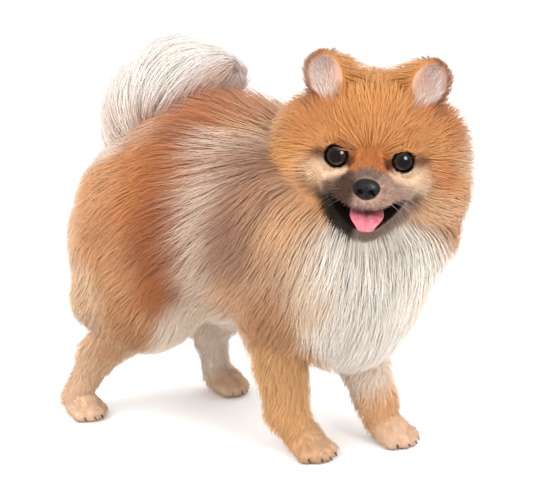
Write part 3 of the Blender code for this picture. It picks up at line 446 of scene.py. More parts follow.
def groove(points, path, width, depth):
    """How much a crease along a path of head points lowers the skin."""
    path = [on_head(*point) for point in path]
    near = np.full(len(points), FAR_OFF)
    for start, end in zip(path, path[1:]):
        axis = end - start
        share = np.clip((points - start) @ axis / (axis @ axis), 0, 1)
        near = np.minimum(near, np.linalg.norm(points - start - share[:, None] * axis, axis=1))
    return depth * np.exp(-((near / width) ** 2))


def eye_creases(sign):
    """The creases that run out from one eye's corners and over its brow, in the head's axes."""
    return (
        ((sign * 2.75, -0.1, -0.1), (sign * 3.5, -0.9, -0.05), (sign * 4.4, -1.8, -0.35)),
        ((sign * 1.25, 0.35, 0.45), (sign * 1.9, 0.1, 0.95), (sign * 2.8, -0.4, 0.85)),
        ((sign * 1.2, 0.5, -0.5), (sign * 1.7, 0.2, -1.0), (sign * 2.5, -0.3, -1.1)),
    )


def skin_field(points):
    """The skin of the whole dog with its face."""
    value = None
    for body in BODIES.values():
        one = body.field(points, SKIN_LEVEL)
        value = one if value is None else join(value, one, 0.25)
    near = far_from(points, on_head(0, -0.5, 0)) < FACE_REACH
    if near.any():
        value[near] = face_field(points[near], value[near])
    return value


def face_field(points, value):
    """Sculpts the face into the blended forms."""
    for side, sign in SIDES.items():
        for path, depth in zip(eye_creases(sign), CREASE_DEPTHS):
            value = value + groove(points, path, 0.16, depth)
        ball = far_from(points, eye_place(side))
        value = join(value, ball - EYE_RADIUS - 0.15, 0.16)
        value = carve(value, ball - EYE_RADIUS - 0.03, 0.02)
        value = carve(value, lid_opening(points, side), 0.05)
        value = join(value, ear_field(points, side), 0.3)
    value = value + groove(points, ((0, 3.4, -2.2), (0, 3.1, -2.9)), 0.12, 0.12)
    value = carve(value, mouth_egg(points), 0.10)
    return carve(value, nose_egg(points, -0.1), 0.05)


# Meshes from fields: a grid that is magnified round the face, and its surface

FACE_MIDDLE = on_head(0, 0.5, -1.2)
PINCH, PINCH_REACH = 4.76, 7.0
CELL, SPARSE = 0.222, 4
BOX_LOW, BOX_HIGH = vec(-9.0, -18.2, -0.6), vec(9.0, 15.0, 29.6)
BOX_SPARE = 0.6


def magnify(points):
    """Points of the even grid as points of the dog: the grid is about three times finer at the face."""
    gone = points - FACE_MIDDLE
    far = np.maximum(np.linalg.norm(gone, axis=1), 1e-6)
    return FACE_MIDDLE + gone * (1 - PINCH * np.tanh(far / PINCH_REACH) / far)[:, None]


def grid_points(lines):
    """Every crossing of three sets of grid lines."""
    return np.stack(np.meshgrid(*lines, indexing="ij"), -1).reshape(-1, 3)


def near_values(field, lines, bend, cell):
    """The field on the grid: exact near the surface and rough elsewhere."""
    counts = [len(line) for line in lines]
    rough_lines = [line[::SPARSE] for line in lines]
    rough = in_parts(lambda spots: field(bend(spots)), grid_points(rough_lines))
    rough = rough.reshape([len(line) for line in rough_lines])
    pick = [np.minimum((np.arange(n) + SPARSE // 2) // SPARSE, r - 1) for n, r in zip(counts, rough.shape)]
    value = rough[np.ix_(*pick)]
    near = np.argwhere(np.abs(value) < cell * SPARSE)
    spots = np.stack([line[near[:, n]] for n, line in enumerate(lines)], 1)
    value[tuple(near.T)] = in_parts(lambda some: field(bend(some)), spots)
    return value


def surface_net(value, lines):
    """Points, in grid places, and quads of the zero surface of values on a grid."""
    inside = value < 0
    counts = value.shape
    number = np.full([n - 1 for n in counts], -1)
    corner = [(i, j, k) for i in (0, 1) for j in (0, 1) for k in (0, 1)]
    mixed = sum(inside[tuple(slice(o, o + n - 1) for o, n in zip(c, counts))].astype(np.int8) for c in corner)
    crossed = (mixed > 0) & (mixed < 8)
    where = np.argwhere(crossed)
    number[crossed] = np.arange(len(where))
    total, weight = np.zeros((len(where), 3)), np.zeros(len(where))
    for c in corner:
        for axis in range(3):
            if c[axis]:
                continue
            d = tuple(v + (a == axis) for a, v in enumerate(c))
            at_c, at_d = value[tuple((where + c).T)], value[tuple((where + d).T)]
            cut = (at_c < 0) != (at_d < 0)
            share = np.where(cut, at_c / np.where(cut, at_c - at_d, 1), 0)
            total[cut] += (where + c + share[:, None] * np.eye(3)[axis])[cut]
            weight[cut] += 1
    low, cell = vec(*[line[0] for line in lines]), lines[0][1] - lines[0][0]
    points = low + cell * total / weight[:, None]
    quads = []
    for axis in range(3):
        near = tuple(slice(0, -1) if a == axis else slice(1, -1) for a in range(3))
        far = tuple(slice(1, None) if a == axis else slice(1, -1) for a in range(3))
        others = [a for a in range(3) if a != axis]
        for flag, back in ((inside[near] & ~inside[far], False), (~inside[near] & inside[far], True)):
            base = np.argwhere(flag)
            base[:, others] += 1
            ring = []
            for da, db in ((-1, -1), (0, -1), (0, 0), (-1, 0)):
                shift = np.zeros(3, int)
                shift[others[0]], shift[others[1]] = da, db
                ring.append(number[tuple((base + shift).T)])
            quad = np.stack(ring, 1)
            quads.append(quad[:, ::-1] if back != (axis == 1) else quad)
    return points, np.concatenate(quads)


def settle(points, field, rounds=2, step=0.015):
    """Moves points onto the field's zero surface along its slope."""
    for _ in range(rounds):
        value = field(points)
        slope = np.stack([(field(points + side) - value) / step for side in np.eye(3) * step], 1)
        move = value / np.maximum((slope * slope).sum(1), 0.3)
        points = points - slope * np.clip(move, -0.2, 0.2)[:, None]
    return points


def net_of(field, low, high, cell, bend=lambda points: points):
    """Points and quads of a field's surface in a box."""
    lines = [np.arange(a, b + cell, cell) for a, b in zip(low, high)]
    points, quads = surface_net(near_values(field, lines, bend, cell), lines)
    return in_parts(lambda some: settle(some, field), bend(points)), quads


def add_object(name, data):
    """A new object in the scene."""
    made = bpy.data.objects.new(name, data)
    bpy.context.scene.collection.objects.link(made)
    return made


def new_mesh(name, points, faces):
    """A mesh object from points in the dog's own centimetres and faces of one number of corners."""
    mesh = bpy.data.meshes.new(name)
    faces = np.asarray(faces)
    mesh.vertices.add(len(points))
    mesh.vertices.foreach_set("co", to_part(points).ravel())
    mesh.loops.add(faces.size)
    mesh.loops.foreach_set("vertex_index", faces.ravel())
    mesh.polygons.add(len(faces))
    mesh.polygons.foreach_set("loop_start", np.arange(len(faces)) * faces.shape[1])
    mesh.update(calc_edges=True)
    mesh.validate()
    mesh.shade_smooth()
    return add_object(name, mesh)


def put_colour(made, name, colours):
    """Stores a colour for each point of the mesh."""
    layer = made.data.color_attributes.new(name=name, type="FLOAT_COLOR", domain="POINT")
    full = np.ones((len(colours), 4), np.float32)
    full[:, :3] = colours
    layer.data.foreach_set("color", full.ravel())


def put_value(made, name, values):
    """Stores a number for each point of the mesh."""
    layer = made.data.attributes.new(name, "FLOAT", "POINT")
    layer.data.foreach_set("value", np.asarray(values, np.float32))


# The bake map: each part of the skin spread out flat round its own middle


def make_charts():
    """For each part: its middle, the way its map looks out, and the middle and size of its patch."""
    charts = {
        "trunk": (vec(0, 1.0, 13.5), (0, 1, 0.1), (0.30, 0.70), 0.29),
        "head": (on_head(0, -2.6, -0.6), HEAD_AXES[1], (0.80, 0.80), 0.19),
        "tail": (vec(1.3, 6.8, 22.4), (0, 0.2, 1), (0.80, 0.43), 0.16),
    }
    for side, sign in SIDES.items():
        elbow, hock, down = vec(*ELBOW_AT[side]), vec(*HOCK_AT[side]), (0, 0, -1)
        axes, middle = ear_axes(side)
        charts["foreleg_" + side] = (elbow * (1, 1, 0.45), down, (0.42 + 0.1 * sign, 0.28), 0.09)
        charts["shank_" + side] = (hock * (1, 1, 0.9), down, (0.42 + 0.1 * sign, 0.09), 0.08)
        charts["ear_" + side] = (middle, axes[1], (0.12, 0.28 + 0.09 * sign), 0.08)
    return charts


CHARTS = make_charts()
CHART_OF = {"jaw": "head"}
CHART_OF.update({"forepaw_" + side: "foreleg_" + side for side in SIDES})
CHART_OF.update({"hindpaw_" + side: "shank_" + side for side in SIDES})


def part_of(points):
    """The name of the part that each point of the skin belongs to."""
    fields = [body.field(points, SKIN_LEVEL) for body in BODIES.values()]
    names = [*BODIES, "ear_right", "ear_left"]
    for side in SIDES:
        near = far_from(points, ear_axes(side)[1]) < EAR_REACH
        ear = np.full(len(points), FAR_OFF)
        if near.any():
            ear[near] = ear_field(points[near], side)
        fields.append(ear)
    return np.array(names)[np.argmin(fields, 0)]


def flat_place(points, parts):
    """The place of each point in the bake map."""
    flat = np.zeros((len(points), 2))
    for part in np.unique(parts):
        middle, pole, tile, size = CHARTS[CHART_OF.get(part, part)]
        here = parts == part
        pole = unit(vec(*pole))
        side = unit(np.cross(pole, (0.31, 0.2, 0.93)))
        gone = unit(points[here] - middle)
        polar = np.arccos(np.clip(gone @ pole, -1, 1)) / math.pi
        around = unit(np.stack((gone @ side, gone @ np.cross(pole, side)), 1))
        flat[here] = vec(*tile) + size * polar[:, None] * around
    return flat


def put_map(made, corner_places):
    """Stores the bake map for each corner of each face."""
    layer = made.data.uv_layers.new(name="OFBake")
    layer.data.foreach_set("uv", corner_places.astype(np.float32).ravel())


# The markings, with some painted shade and painted light: named zones with their place, their reach and their
# colour


def srgb(red, green, blue):
    """A colour as seen, as the light it is made of."""
    seen = vec(red, green, blue) / 255
    return np.where(seen <= 0.04045, seen / 12.92, ((seen + 0.055) / 1.055) ** 2.4)


COLOURS = {
    "amber": (212, 144, 84), "honey": (220, 156, 92), "apricot": (210, 148, 92), "cream": (226, 192, 160),
    "rust": (186, 112, 60), "smoke": (80, 56, 45), "silver": (166, 134, 118), "soot": (40, 27, 18),
    "ash": (122, 102, 90), "milk": (244, 235, 224), "sand": (230, 200, 169), "tan": (217, 170, 130),
    "sable": (164, 123, 98), "oat": (216, 189, 170), "fox": (178, 108, 64), "deep_fox": (166, 96, 55),
    "wheat": (208, 152, 108), "straw": (217, 180, 146), "thigh": (194, 140, 95), "leg": (214, 163, 111),
    "dun": (196, 154, 122), "hazel": (188, 136, 94), "inner_leg": (220, 168, 122), "foot": (214, 178, 148),
    # Painted shade: the umber is a dark brown laid in the creases at the eyes' corners and in the brow crease
    # over the right eye
    "toe": (188, 144, 106), "belly": (236, 216, 196), "umber": (104, 58, 32), "cocoa": (128, 82, 54),
    "shell": (238, 222, 214), "bronze": (200, 128, 74), "ear_edge": (170, 108, 66),
    "plume": (238, 230, 223), "plume_low": (230, 211, 196),
}

# Zones of the head by left, forward, up, reach and colour: single ones, then the left of both sides
HEAD_ZONES = (
    (0, -1.3, 2.6, 2.0, "amber"), (0, -3.0, 4.2, 2.2, "honey"), (0, -5.5, 2.5, 2.8, "apricot"),
    (0, 0.7, 0.1, 0.9, "rust"), (0, 1.2, -0.7, 0.55, "fox"), (0, 2.0, -1.15, 0.6, "ash"),
    (-1.1, 1.8, -2.0, 0.8, "smoke"), (1.1, 1.8, -2.0, 0.8, "silver"), (-2.2, 0.3, -2.0, 0.7, "smoke"),
    (2.3, 0.3, -1.9, 0.7, "silver"), (-1.3, 0.2, -3.9, 1.2, "soot"), (1.5, 0.3, -4.0, 1.0, "ash"),
    (-1.4, 1.5, -4.4, 0.8, "soot"), (-1.3, -0.2, -5.2, 0.8, "soot"), (0.4, 2.3, -4.7, 0.6, "ash"),
    (2.0, 0.0, -4.4, 0.7, "silver"), (1.4, -0.8, -5.2, 0.7, "ash"), (-3.0, -0.7, -2.9, 0.8, "soot"),
    (3.1, -0.7, -2.8, 0.6, "ash"), (0.0, 2.7, -2.6, 0.6, "silver"), (5.0, -1.6, -0.9, 1.1, "bronze"),
    (5.4, -2.5, 1.8, 1.4, "bronze"), (-4.2, -1.3, -2.3, 0.8, "hazel"), (-4.9, -1.6, 1.8, 1.3, "bronze"),
    # The umber zone over the right eye is painted shade in its brow crease
    (-2.0, 0.2, 0.8, 0.36, "umber"), (-3.0, -0.6, -1.9, 0.7, "tan"),
)
FACE_ZONES = (
    (1.9, -0.3, 1.5, 0.9, "amber"), (2.4, -0.3, -1.3, 0.9, "cream"), (3.4, -1.7, -1.4, 1.2, "sand"),
    (4.0, -2.2, 0.8, 1.6, "apricot"), (4.6, -3.4, -1.2, 1.9, "honey"), (4.2, -3.6, -3.6, 1.9, "tan"),
    (3.1, -2.4, 3.0, 1.2, "bronze"), (4.0, -3.0, 4.6, 1.1, "ear_edge"), (2.3, -3.4, 4.6, 0.9, "amber"),
    # The umber zones are painted shade along the creases at the eyes' corners
    (4.6, -2.6, 3.4, 0.7, "cocoa"), (2.75, 0.0, -0.05, 0.42, "umber"), (3.3, -0.6, -0.05, 0.4, "umber"),
    (3.95, -1.2, -0.25, 0.38, "umber"), (1.15, 0.6, -0.25, 0.32, "umber"),
)

# Zones of the body by place, reach and colour: the right of both sides, then the ones that aren't mirrored
COAT_ZONES = (
    (-2.3, -3.0, 22.5, 1.2, "straw"), (1.1, -2.1, 23.5, 1.4, "dun"), (-1.8, -1.2, 23.4, 1.2, "dun"),
    (-5.2, -2.8, 20.7, 1.6, "sable"), (-7.3, -3.5, 17.5, 1.7, "sable"), (-7.2, -3.2, 14.8, 1.6, "sable"),
    (-5.9, -5.2, 19.6, 1.3, "dun"), (-6.2, -3.2, 12.2, 1.6, "tan"), (-5.4, -3.4, 9.8, 1.6, "hazel"),
    (-4.9, 0.2, 21.6, 1.2, "oat"), (-6.9, -0.3, 19.3, 1.3, "oat"), (-7.3, -0.4, 16.2, 1.1, "oat"),
    (-6.9, -0.1, 13.6, 1.2, "oat"), (-6.2, 0.2, 11.4, 1.3, "oat"), (-5.4, 0.0, 9.4, 1.5, "straw"),
    (-1.6, 2.6, 23.6, 1.9, "fox"), (1.0, 1.4, 24.4, 1.7, "fox"), (-4.0, 2.8, 22.2, 1.7, "deep_fox"),
    (-6.0, 2.4, 19.9, 1.7, "fox"), (-6.9, 3.1, 17.0, 1.5, "deep_fox"), (-7.0, 3.1, 14.4, 1.5, "deep_fox"),
    (-6.5, 3.0, 12.0, 1.5, "fox"), (-2.2, 5.8, 21.6, 1.9, "fox"), (-5.0, 5.6, 20.0, 1.8, "bronze"),
    (-6.6, 5.4, 17.4, 1.6, "bronze"), (-5.5, 8.4, 17.8, 2.0, "wheat"), (-7.4, 7.6, 15.0, 1.9, "wheat"),
    (-7.5, 6.2, 12.4, 1.7, "wheat"), (-7.1, 9.1, 10.0, 2.0, "straw"), (-2.5, 12.5, 14.0, 3.2, "straw"),
    (-7.3, 5.6, 9.0, 1.7, "thigh"), (-5.4, 8.6, 5.4, 1.2, "thigh"), (-4.6, 2.4, 8.4, 1.6, "belly"),
    (-1.0, 0.0, 8.0, 3.4, "belly"),
)
OWN_ZONES = (
    (-6.7, -7.3, 17.6, 1.8, "tan"), (-5.2, -8.2, 18.6, 1.4, "apricot"), (-7.45, -6.5, 14.2, 1.7, "dun"),
    (-6.9, -5.8, 11.1, 1.6, "hazel"), (-7.0, -8.3, 15.2, 1.3, "sand"), (-6.4, -10.1, 15.2, 1.6, "milk"),
    (-5.9, -9.0, 12.6, 1.5, "sand"), (-4.7, -12.2, 15.1, 2.3, "milk"), (-4.4, -11.7, 10.7, 2.5, "milk"),
    (-1.9, -11.9, 8.6, 2.3, "milk"), (-3.1, -13.9, 16.3, 1.5, "milk"), (0.4, -14.0, 13.2, 2.2, "milk"),
    (3.4, -13.9, 12.6, 2.2, "tan"), (4.4, -14.8, 16.6, 2.2, "apricot"), (2.6, -16.0, 21.4, 1.5, "sand"),
    (0.6, -15.2, 18.2, 1.6, "tan"), (5.5, -9.0, 17.0, 3.0, "tan"), (5.0, -9.0, 11.0, 3.0, "tan"),
    (-1.0, 6.8, 26.2, 3.0, "plume"), (2.5, 3.8, 27.2, 3.0, "plume"), (3.5, 6.5, 23.5, 2.6, "plume"),
    (1.0, 11.0, 23.0, 2.4, "plume"), (-1.6, 9.6, 21.4, 1.7, "plume_low"), (-3.6, 5.6, 22.2, 1.3, "straw"),
    (-4.6, -5.3, 6.2, 2.2, "leg"), (-3.6, -5.8, 3.0, 1.6, "leg"), (2.3, -9.6, 3.0, 1.2, "inner_leg"),
    (1.9, -9.1, 4.9, 1.5, "belly"), (3.6, -6.8, 6.6, 2.0, "straw"), (-5.3, 9.3, 4.6, 2.0, "straw"),
    # Painted light: this belly zone makes the far hind leg much paler than its tan, to lift the shade on it
    (4.4, 5.2, 5.6, 2.5, "belly"),
)

# How fast a zone fades with distance, and how much it counts far away
FALL_OFF, FAR_SHARE = 1.6, 1e-5
# The width and the depth of the painted shade in each crease round the eyes
CREASE_PAINTED_SHADES = ((0.2, 0.9), (0.24, 0.6), (0.15, 0.25))


def head_zones():
    """Zones of the head, each with its place in the dog's own centimetres."""
    sides = [(sign * left, *rest) for sign in (-1, 1) for left, *rest in FACE_ZONES]
    return [(on_head(*place), reach, name) for *place, reach, name in (*HEAD_ZONES, *sides)]


def body_zones():
    """Zones of neck, torso, tail, legs and feet."""
    mirrored = [(-x, *rest) for x, *rest in COAT_ZONES]
    zones = [(place, reach, name) for *place, reach, name in (*COAT_ZONES, *mirrored, *OWN_ZONES)]
    zones += [(vec(*at) + (0, -1.0, 0.6), 1.2, "foot") for at in (*FOREPAW_AT.values(), *HINDPAW_AT.values())]
    return zones + [(vec(*FOREPAW_AT["right"]) + (-0.6, -0.9, 0.8), 1.1, "toe")]


def tinted(colour, share, other):
    """The colours, turned towards another by a share at each point."""
    share = share[:, None]
    return colour * (1 - share) + other * share


def marking(points):
    """The colour of the dog at the points: nearby zones, mixed by how near they are, with pale ear cups and
    painted shade in the creases round the eyes.
    """
    total, weight = np.zeros((len(points), 3)), np.zeros(len(points))
    off_face = np.clip((far_from(points, on_head(0, 0.5, -1.8)) - 3.5) / 1.2, 0, 1)
    for zones, share in ((head_zones(), 1.0), (body_zones(), off_face)):
        for place, reach, name in zones:
            far = far_from(points, place) / reach
            counts = (np.exp(-FALL_OFF * far * far) + FAR_SHARE / (1 + far**4)) * share
            total += counts[:, None] * srgb(*COLOURS[name])
            weight += counts
    colour = total / weight[:, None]
    for side in SIDES:
        colour = tinted(colour, within(ear_cup(points, side), 0.10, 0.25), srgb(*COLOURS["shell"]))
    # Painted shade: the creases round the eyes darken the colour, most in blue
    for sign in (-1, 1):
        for path, (width, depth) in zip(eye_creases(sign), CREASE_PAINTED_SHADES):
            colour *= (1 - groove(points, path, width, depth))[:, None] ** vec(0.8, 1.0, 1.15)
    return colour


def skin_colour(points):
    """The skin's colour: the markings, darkened a little as painted shade under the coat, with dark rims
    round eyes and mouth, pink ears and dark pads.
    """
    # The markings are darkened a little as painted shade for the depth under the coat
    colour, dark = marking(points) * 0.95, srgb(27, 20, 18)
    for side in SIDES:
        ball = far_from(points, eye_place(side))
        rim = within(ball, EYE_RADIUS + 0.4, 0.15) * within(lid_opening(points, side), 0.16, 0.1)
        colour = tinted(colour, np.maximum(rim, within(ball, EYE_RADIUS + 0.12, 0.04)), dark)
        colour = tinted(colour, within(ear_cup(points, side), 0.12, 0.14), srgb(214, 180, 172))
    lip = mouth_egg(points)
    colour = tinted(colour, within(lip, 0.14, 0.10), dark)
    inside = within(lip, -0.05, 0.2) * np.clip((in_head(points)[:, 1] - 0.2) / 2, 0, 1)
    colour = tinted(colour, inside, srgb(48, 20, 19))
    return tinted(colour, within(points[:, 2], 0.16, 0.08), srgb(58, 44, 40))


# Materials


def set_inputs(node, inputs):
    """Sets a node's inputs by name, with low lines for spaces."""
    for name, value in inputs.items():
        node.inputs[name.replace("_", " ")].default_value = value
    return node


def new_material(name, **inputs):
    """A material with its nodes and its shader, whose named inputs are set."""
    made = bpy.data.materials.new(name)
    made.use_nodes = True
    return made, made.node_tree, set_inputs(made.node_tree.nodes["Principled BSDF"], inputs)


def stored(tree, name, output):
    """The output of a colour or number that the mesh stores."""
    node = tree.nodes.new("ShaderNodeAttribute")
    node.attribute_name = name
    return node.outputs[output]


def pattern(tree, kind, output, **inputs):
    """A pattern over the object's own axes."""
    node = set_inputs(tree.nodes.new(kind), inputs)
    place = tree.nodes.new("ShaderNodeTexCoord")
    tree.links.new(place.outputs["Object"], node.inputs["Vector"])
    return node.outputs[output]


def ramp(tree, value, stops):
    """A colour ramp over a value, from stops of place and colour."""
    node = tree.nodes.new("ShaderNodeValToRGB")
    while len(node.color_ramp.elements) < len(stops):
        node.color_ramp.elements.new(0.5)
    for element, (place, colour) in zip(node.color_ramp.elements, stops):
        element.position = place
        element.color = (*colour, 1)
    tree.links.new(value, node.inputs["Fac"])
    return node.outputs["Color"]


def noise(tree, scale, detail=3.0, rough=0.55):
    """A noise value over the object's own axes."""
    return pattern(tree, "ShaderNodeTexNoise", "Fac", Scale=scale, Detail=detail, Roughness=rough)


def multiply(tree, one, two):
    """One colour times another."""
    node = tree.nodes.new("ShaderNodeMix")
    node.data_type = "RGBA"
    node.blend_type = "MULTIPLY"
    node.inputs[0].default_value = 1.0
    tree.links.new(one, node.inputs[6])
    tree.links.new(two, node.inputs[7])
    return node.outputs[2]


def add_bump(tree, shader, height, strength, distance):
    """A bump under the shader."""
    node = set_inputs(tree.nodes.new("ShaderNodeBump"), {"Strength": strength, "Distance": distance})
    tree.links.new(height, node.inputs["Height"])
    tree.links.new(node.outputs["Normal"], shader.inputs["Normal"])


def mottled(name, scale, stops, **inputs):
    """A material whose colour changes a little from place to place."""
    made, tree, shader = new_material(name, **inputs)
    tree.links.new(ramp(tree, noise(tree, scale), stops), shader.inputs["Base Color"])
    return made, tree, shader


def grained(name, scale, stops, cells, strength, **inputs):
    """A mottled material with a fine raised grain."""
    made, tree, shader = mottled(name, scale, stops, **inputs)
    add_bump(tree, shader, pattern(tree, "ShaderNodeTexVoronoi", "Distance", Scale=cells), strength, 0.0003)
    return made


def skin_material():
    """Skin with its markings and a close nap of short hair."""
    made, tree, shader = new_material("skin_nap", Roughness=0.75, Specular_IOR_Level=0.25)
    mottle = ramp(tree, noise(tree, 160.0), ((0.3, (0.84, 0.82, 0.80)), (0.7, (1.08, 1.07, 1.06))))
    tree.links.new(multiply(tree, stored(tree, "tint", "Color"), mottle), shader.inputs["Base Color"])
    add_bump(tree, shader, noise(tree, 900.0, 4.0, 0.6), 0.5, 0.0006)
    return made


def coat_material(name, roughness, sheen):
    """Hair with its markings, finely streaked and faintly clouded."""
    made, tree, shader = new_material(
        name, Roughness=roughness, Specular_IOR_Level=0.3, Sheen_Weight=sheen, Sheen_Roughness=0.5
    )
    streak = ramp(tree, noise(tree, 700.0, 2.0), ((0.25, (0.86, 0.84, 0.82)), (0.75, (1.08, 1.08, 1.08))))
    cloud = ramp(tree, noise(tree, 45.0, 2.0), ((0.3, (0.93, 0.91, 0.89)), (0.7, (1.05, 1.05, 1.05))))
    colour = multiply(tree, multiply(tree, stored(tree, "tint", "Color"), streak), cloud)
    tree.links.new(colour, shader.inputs["Base Color"])
    return made


def eye_material():
    """A wet dark eye: black pupil, deep brown iris, dark ring."""
    made, tree, shader = new_material(
        "wet_eye", Roughness=0.3, Specular_IOR_Level=0.1, Coat_Weight=1.0, Coat_IOR=1.75, Coat_Roughness=0.02
    )
    iris = ramp(tree, stored(tree, "off_gaze", "Fac"), (
        (0.0, srgb(8, 7, 8)), (0.40, srgb(10, 9, 10)), (0.48, srgb(36, 25, 22)), (0.68, srgb(31, 22, 19)),
        (0.80, srgb(13, 10, 10)), (1.0, srgb(26, 19, 17)),
    ))
    fleck = ramp(tree, noise(tree, 1500.0), ((0.3, (0.75, 0.75, 0.75)), (0.7, (1.2, 1.15, 1.1))))
    tree.links.new(multiply(tree, iris, fleck), shader.inputs["Base Color"])
    return made


# The coat: closed three-sided tapered tufts, rooted in the skin

# How wide a tuft is at each of its rings, and how much it is shaded like the skin under it
TAPER = {3: (0.9, 1.0, 0.0), 4: (0.8, 1.0, 0.75, 0.0)}
SOFTNESS = 0.8
# The most triangles in a piece, the patch of the bake map for one tuft, the lowest that hair hangs, in
# centimetres, and the palest colour and how dark a root is painted, as shade deep in the coat
PIECE_LIMIT, MAP_SPREAD, LOWEST_HAIR = 190000, 0.0028, 0.03
PALEST, ROOT_PAINTED_SHADE = 0.95, 0.92

# How long the long hair is against the rest, how loosely it lies and how much it is drawn into locks
LONG_HABITS = {"trunk": (1.0, 0.16, 0.36), "head": (0.62, 0.26, 0.2), "tail": (1.0, 0.16, 0.36)}

# Tufts that wait to be joined into pieces: roots, their parts, paths, normals, radii and colours by ring
Coat = namedtuple("Coat", "root part path normal radius tint")


def tuft_faces(rings):
    """The triangles of one tuft with so many rings, the last of which is its tip."""
    faces = [(0, 1, 2)]
    for ring in range(rings - 2):
        for side in range(3):
            a, b = ring * 3 + side, ring * 3 + (side + 1) % 3
            faces += [(a, b + 3, b), (a, a + 3, b + 3)]
    last = (rings - 2) * 3
    faces += [(last + side, last + 3, last + (side + 1) % 3) for side in range(3)]
    return np.array(faces)


def tuft_points(path, normal, radius):
    """The points of many tufts and the ways they are shaded, from paths, with a normal and a radius each."""
    rings = path.shape[1]
    along = np.gradient(path, axis=1)
    side = unit(np.cross(along, normal[:, None, :]))
    top = unit(np.cross(side, along))
    rows, shaded = [], []
    for ring, width in zip(range(rings - 1), TAPER[rings]):
        for turn in (90, 210, 330):
            angle = math.radians(turn)
            step = side[:, ring] * math.cos(angle) + top[:, ring] * math.sin(angle)
            rows.append(path[:, ring] + step * (radius * width)[:, None])
            shaded.append(normal * SOFTNESS + step * (1 - SOFTNESS))
    rows.append(path[:, -1])
    shaded.append(normal)
    return np.stack(rows, 1), unit(np.stack(shaded, 1))


def coat_piece(name, coat, material):
    """One joined mesh of tufts with its colours and its bake map."""
    rings = coat.path.shape[1]
    points, shaded = tuft_points(coat.path, coat.normal, coat.radius)
    template = tuft_faces(rings)
    each = points.shape[1]
    faces = (np.arange(len(points)) * each)[:, None, None] + template
    made = new_mesh(name, points.reshape(-1, 3), faces.reshape(-1, 3))
    made.data.normals_split_custom_set_from_vertices(shaded.reshape(-1, 3))
    ring_of = np.minimum(np.arange(each) // 3, rings - 1)
    put_colour(made, "tint", coat.tint[:, ring_of].reshape(-1, 3))
    spread = np.stack((ring_of / (rings - 1) - 0.5, np.arange(each) % 3 / 2 - 0.5), 1) * MAP_SPREAD
    places = flat_place(coat.root, coat.part)[:, None, :] + spread
    put_map(made, places[:, template.reshape(-1)].reshape(-1, 2))
    made.data.materials.append(material)
    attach(made, "root")


def coat_pieces(label, coat, order, material):
    """Joins tufts, taken in an order, into as few pieces as the limit of triangles allows."""
    pieces = math.ceil(len(order) * len(tuft_faces(coat.path.shape[1])) / PIECE_LIMIT)
    for number, chosen in enumerate(np.array_split(order, pieces)):
        chosen = np.sort(chosen)
        name = f"{label}_{number + 1}" if pieces > 1 else label
        coat_piece(name, Coat(*(values[chosen] for values in coat)), material)


def skin_triangles():
    """The skin's points and triangles in the dog's own centimetres, and its normals."""
    mesh = bpy.data.objects["skin"].data
    points = np.zeros(len(mesh.vertices) * 3)
    mesh.vertices.foreach_get("co", points)
    normals = np.zeros(len(mesh.vertices) * 3)
    mesh.vertices.foreach_get("normal", normals)
    mesh.calc_loop_triangles()
    corners = np.zeros(len(mesh.loop_triangles) * 3, int)
    mesh.loop_triangles.foreach_get("vertices", corners)
    return (points.reshape(-1, 3) - PLACE) / CM, normals.reshape(-1, 3), corners.reshape(-1, 3)


def bare(points):
    """Where no hair grows: mouth, nose, eyes and soles."""
    none = (mouth_egg(points) < 0.06) | (nose_egg(points) < 0.02) | (points[:, 2] < 0.12)
    for side in SIDES:
        ball = far_from(points, eye_place(side))
        none |= (ball < EYE_RADIUS + 0.5) & (lid_opening(points, side) < 0.07) | (ball < EYE_RADIUS + 0.11)
    return none


def sow(points, corners, density, draw):
    """Roots spread over the triangles by a density per square centimetre, with the triangle of each."""
    a, b, c = (points[corners[:, n]] for n in range(3))
    area = np.linalg.norm(np.cross(b - a, c - a), axis=1) / 2
    total = np.cumsum(area * density)
    count = int(total[-1])
    pick = np.searchsorted(total, (np.arange(count) + draw.random(count)) * total[-1] / count)
    pick = np.minimum(pick, len(corners) - 1)
    one, two = np.sqrt(draw.random(count))[:, None], draw.random(count)[:, None]
    return a[pick] * (1 - one) + b[pick] * one * (1 - two) + c[pick] * one * two, pick


def coat_depth(points, parts):
    """How deep the whole coat is at the points."""
    depth = np.zeros(len(points))
    for part in np.unique(parts):
        if part in BODIES:
            here = parts == part
            body = BODIES[part]
            depth[here] = body.field(points[here], 0.0) - body.field(points[here], 1.0)
    return depth


def buried(points, parts):
    """Where another part's coat lies deep over the root."""
    hidden = np.zeros(len(points), bool)
    for name, depth in (("trunk", 1.6), ("head", 1.6), ("tail", 2.4)):
        other = np.array([CHART_OF.get(part, part) != name for part in parts])
        hidden[other] |= BODIES[name].field(points[other], 1.0) < -depth
    return hidden


def waves(points, size, seed):
    """Smooth noise, mostly from -1 to 1, over the points, as a few crossed waves."""
    draw = np.random.default_rng(seed)
    total = np.zeros(len(points))
    for _ in range(6):
        way = unit(draw.normal(size=3)) * draw.uniform(0.6, 1.5) * 2 * math.pi / size
        total += np.sin(points @ way + draw.uniform(0, 6.28))
    return total / 3.0


def along_skin(way, normal, share=1.0):
    """Ways with a share of what points out of the skin taken away."""
    return unit(way - normal * (way * normal).sum(1, keepdims=True) * share)


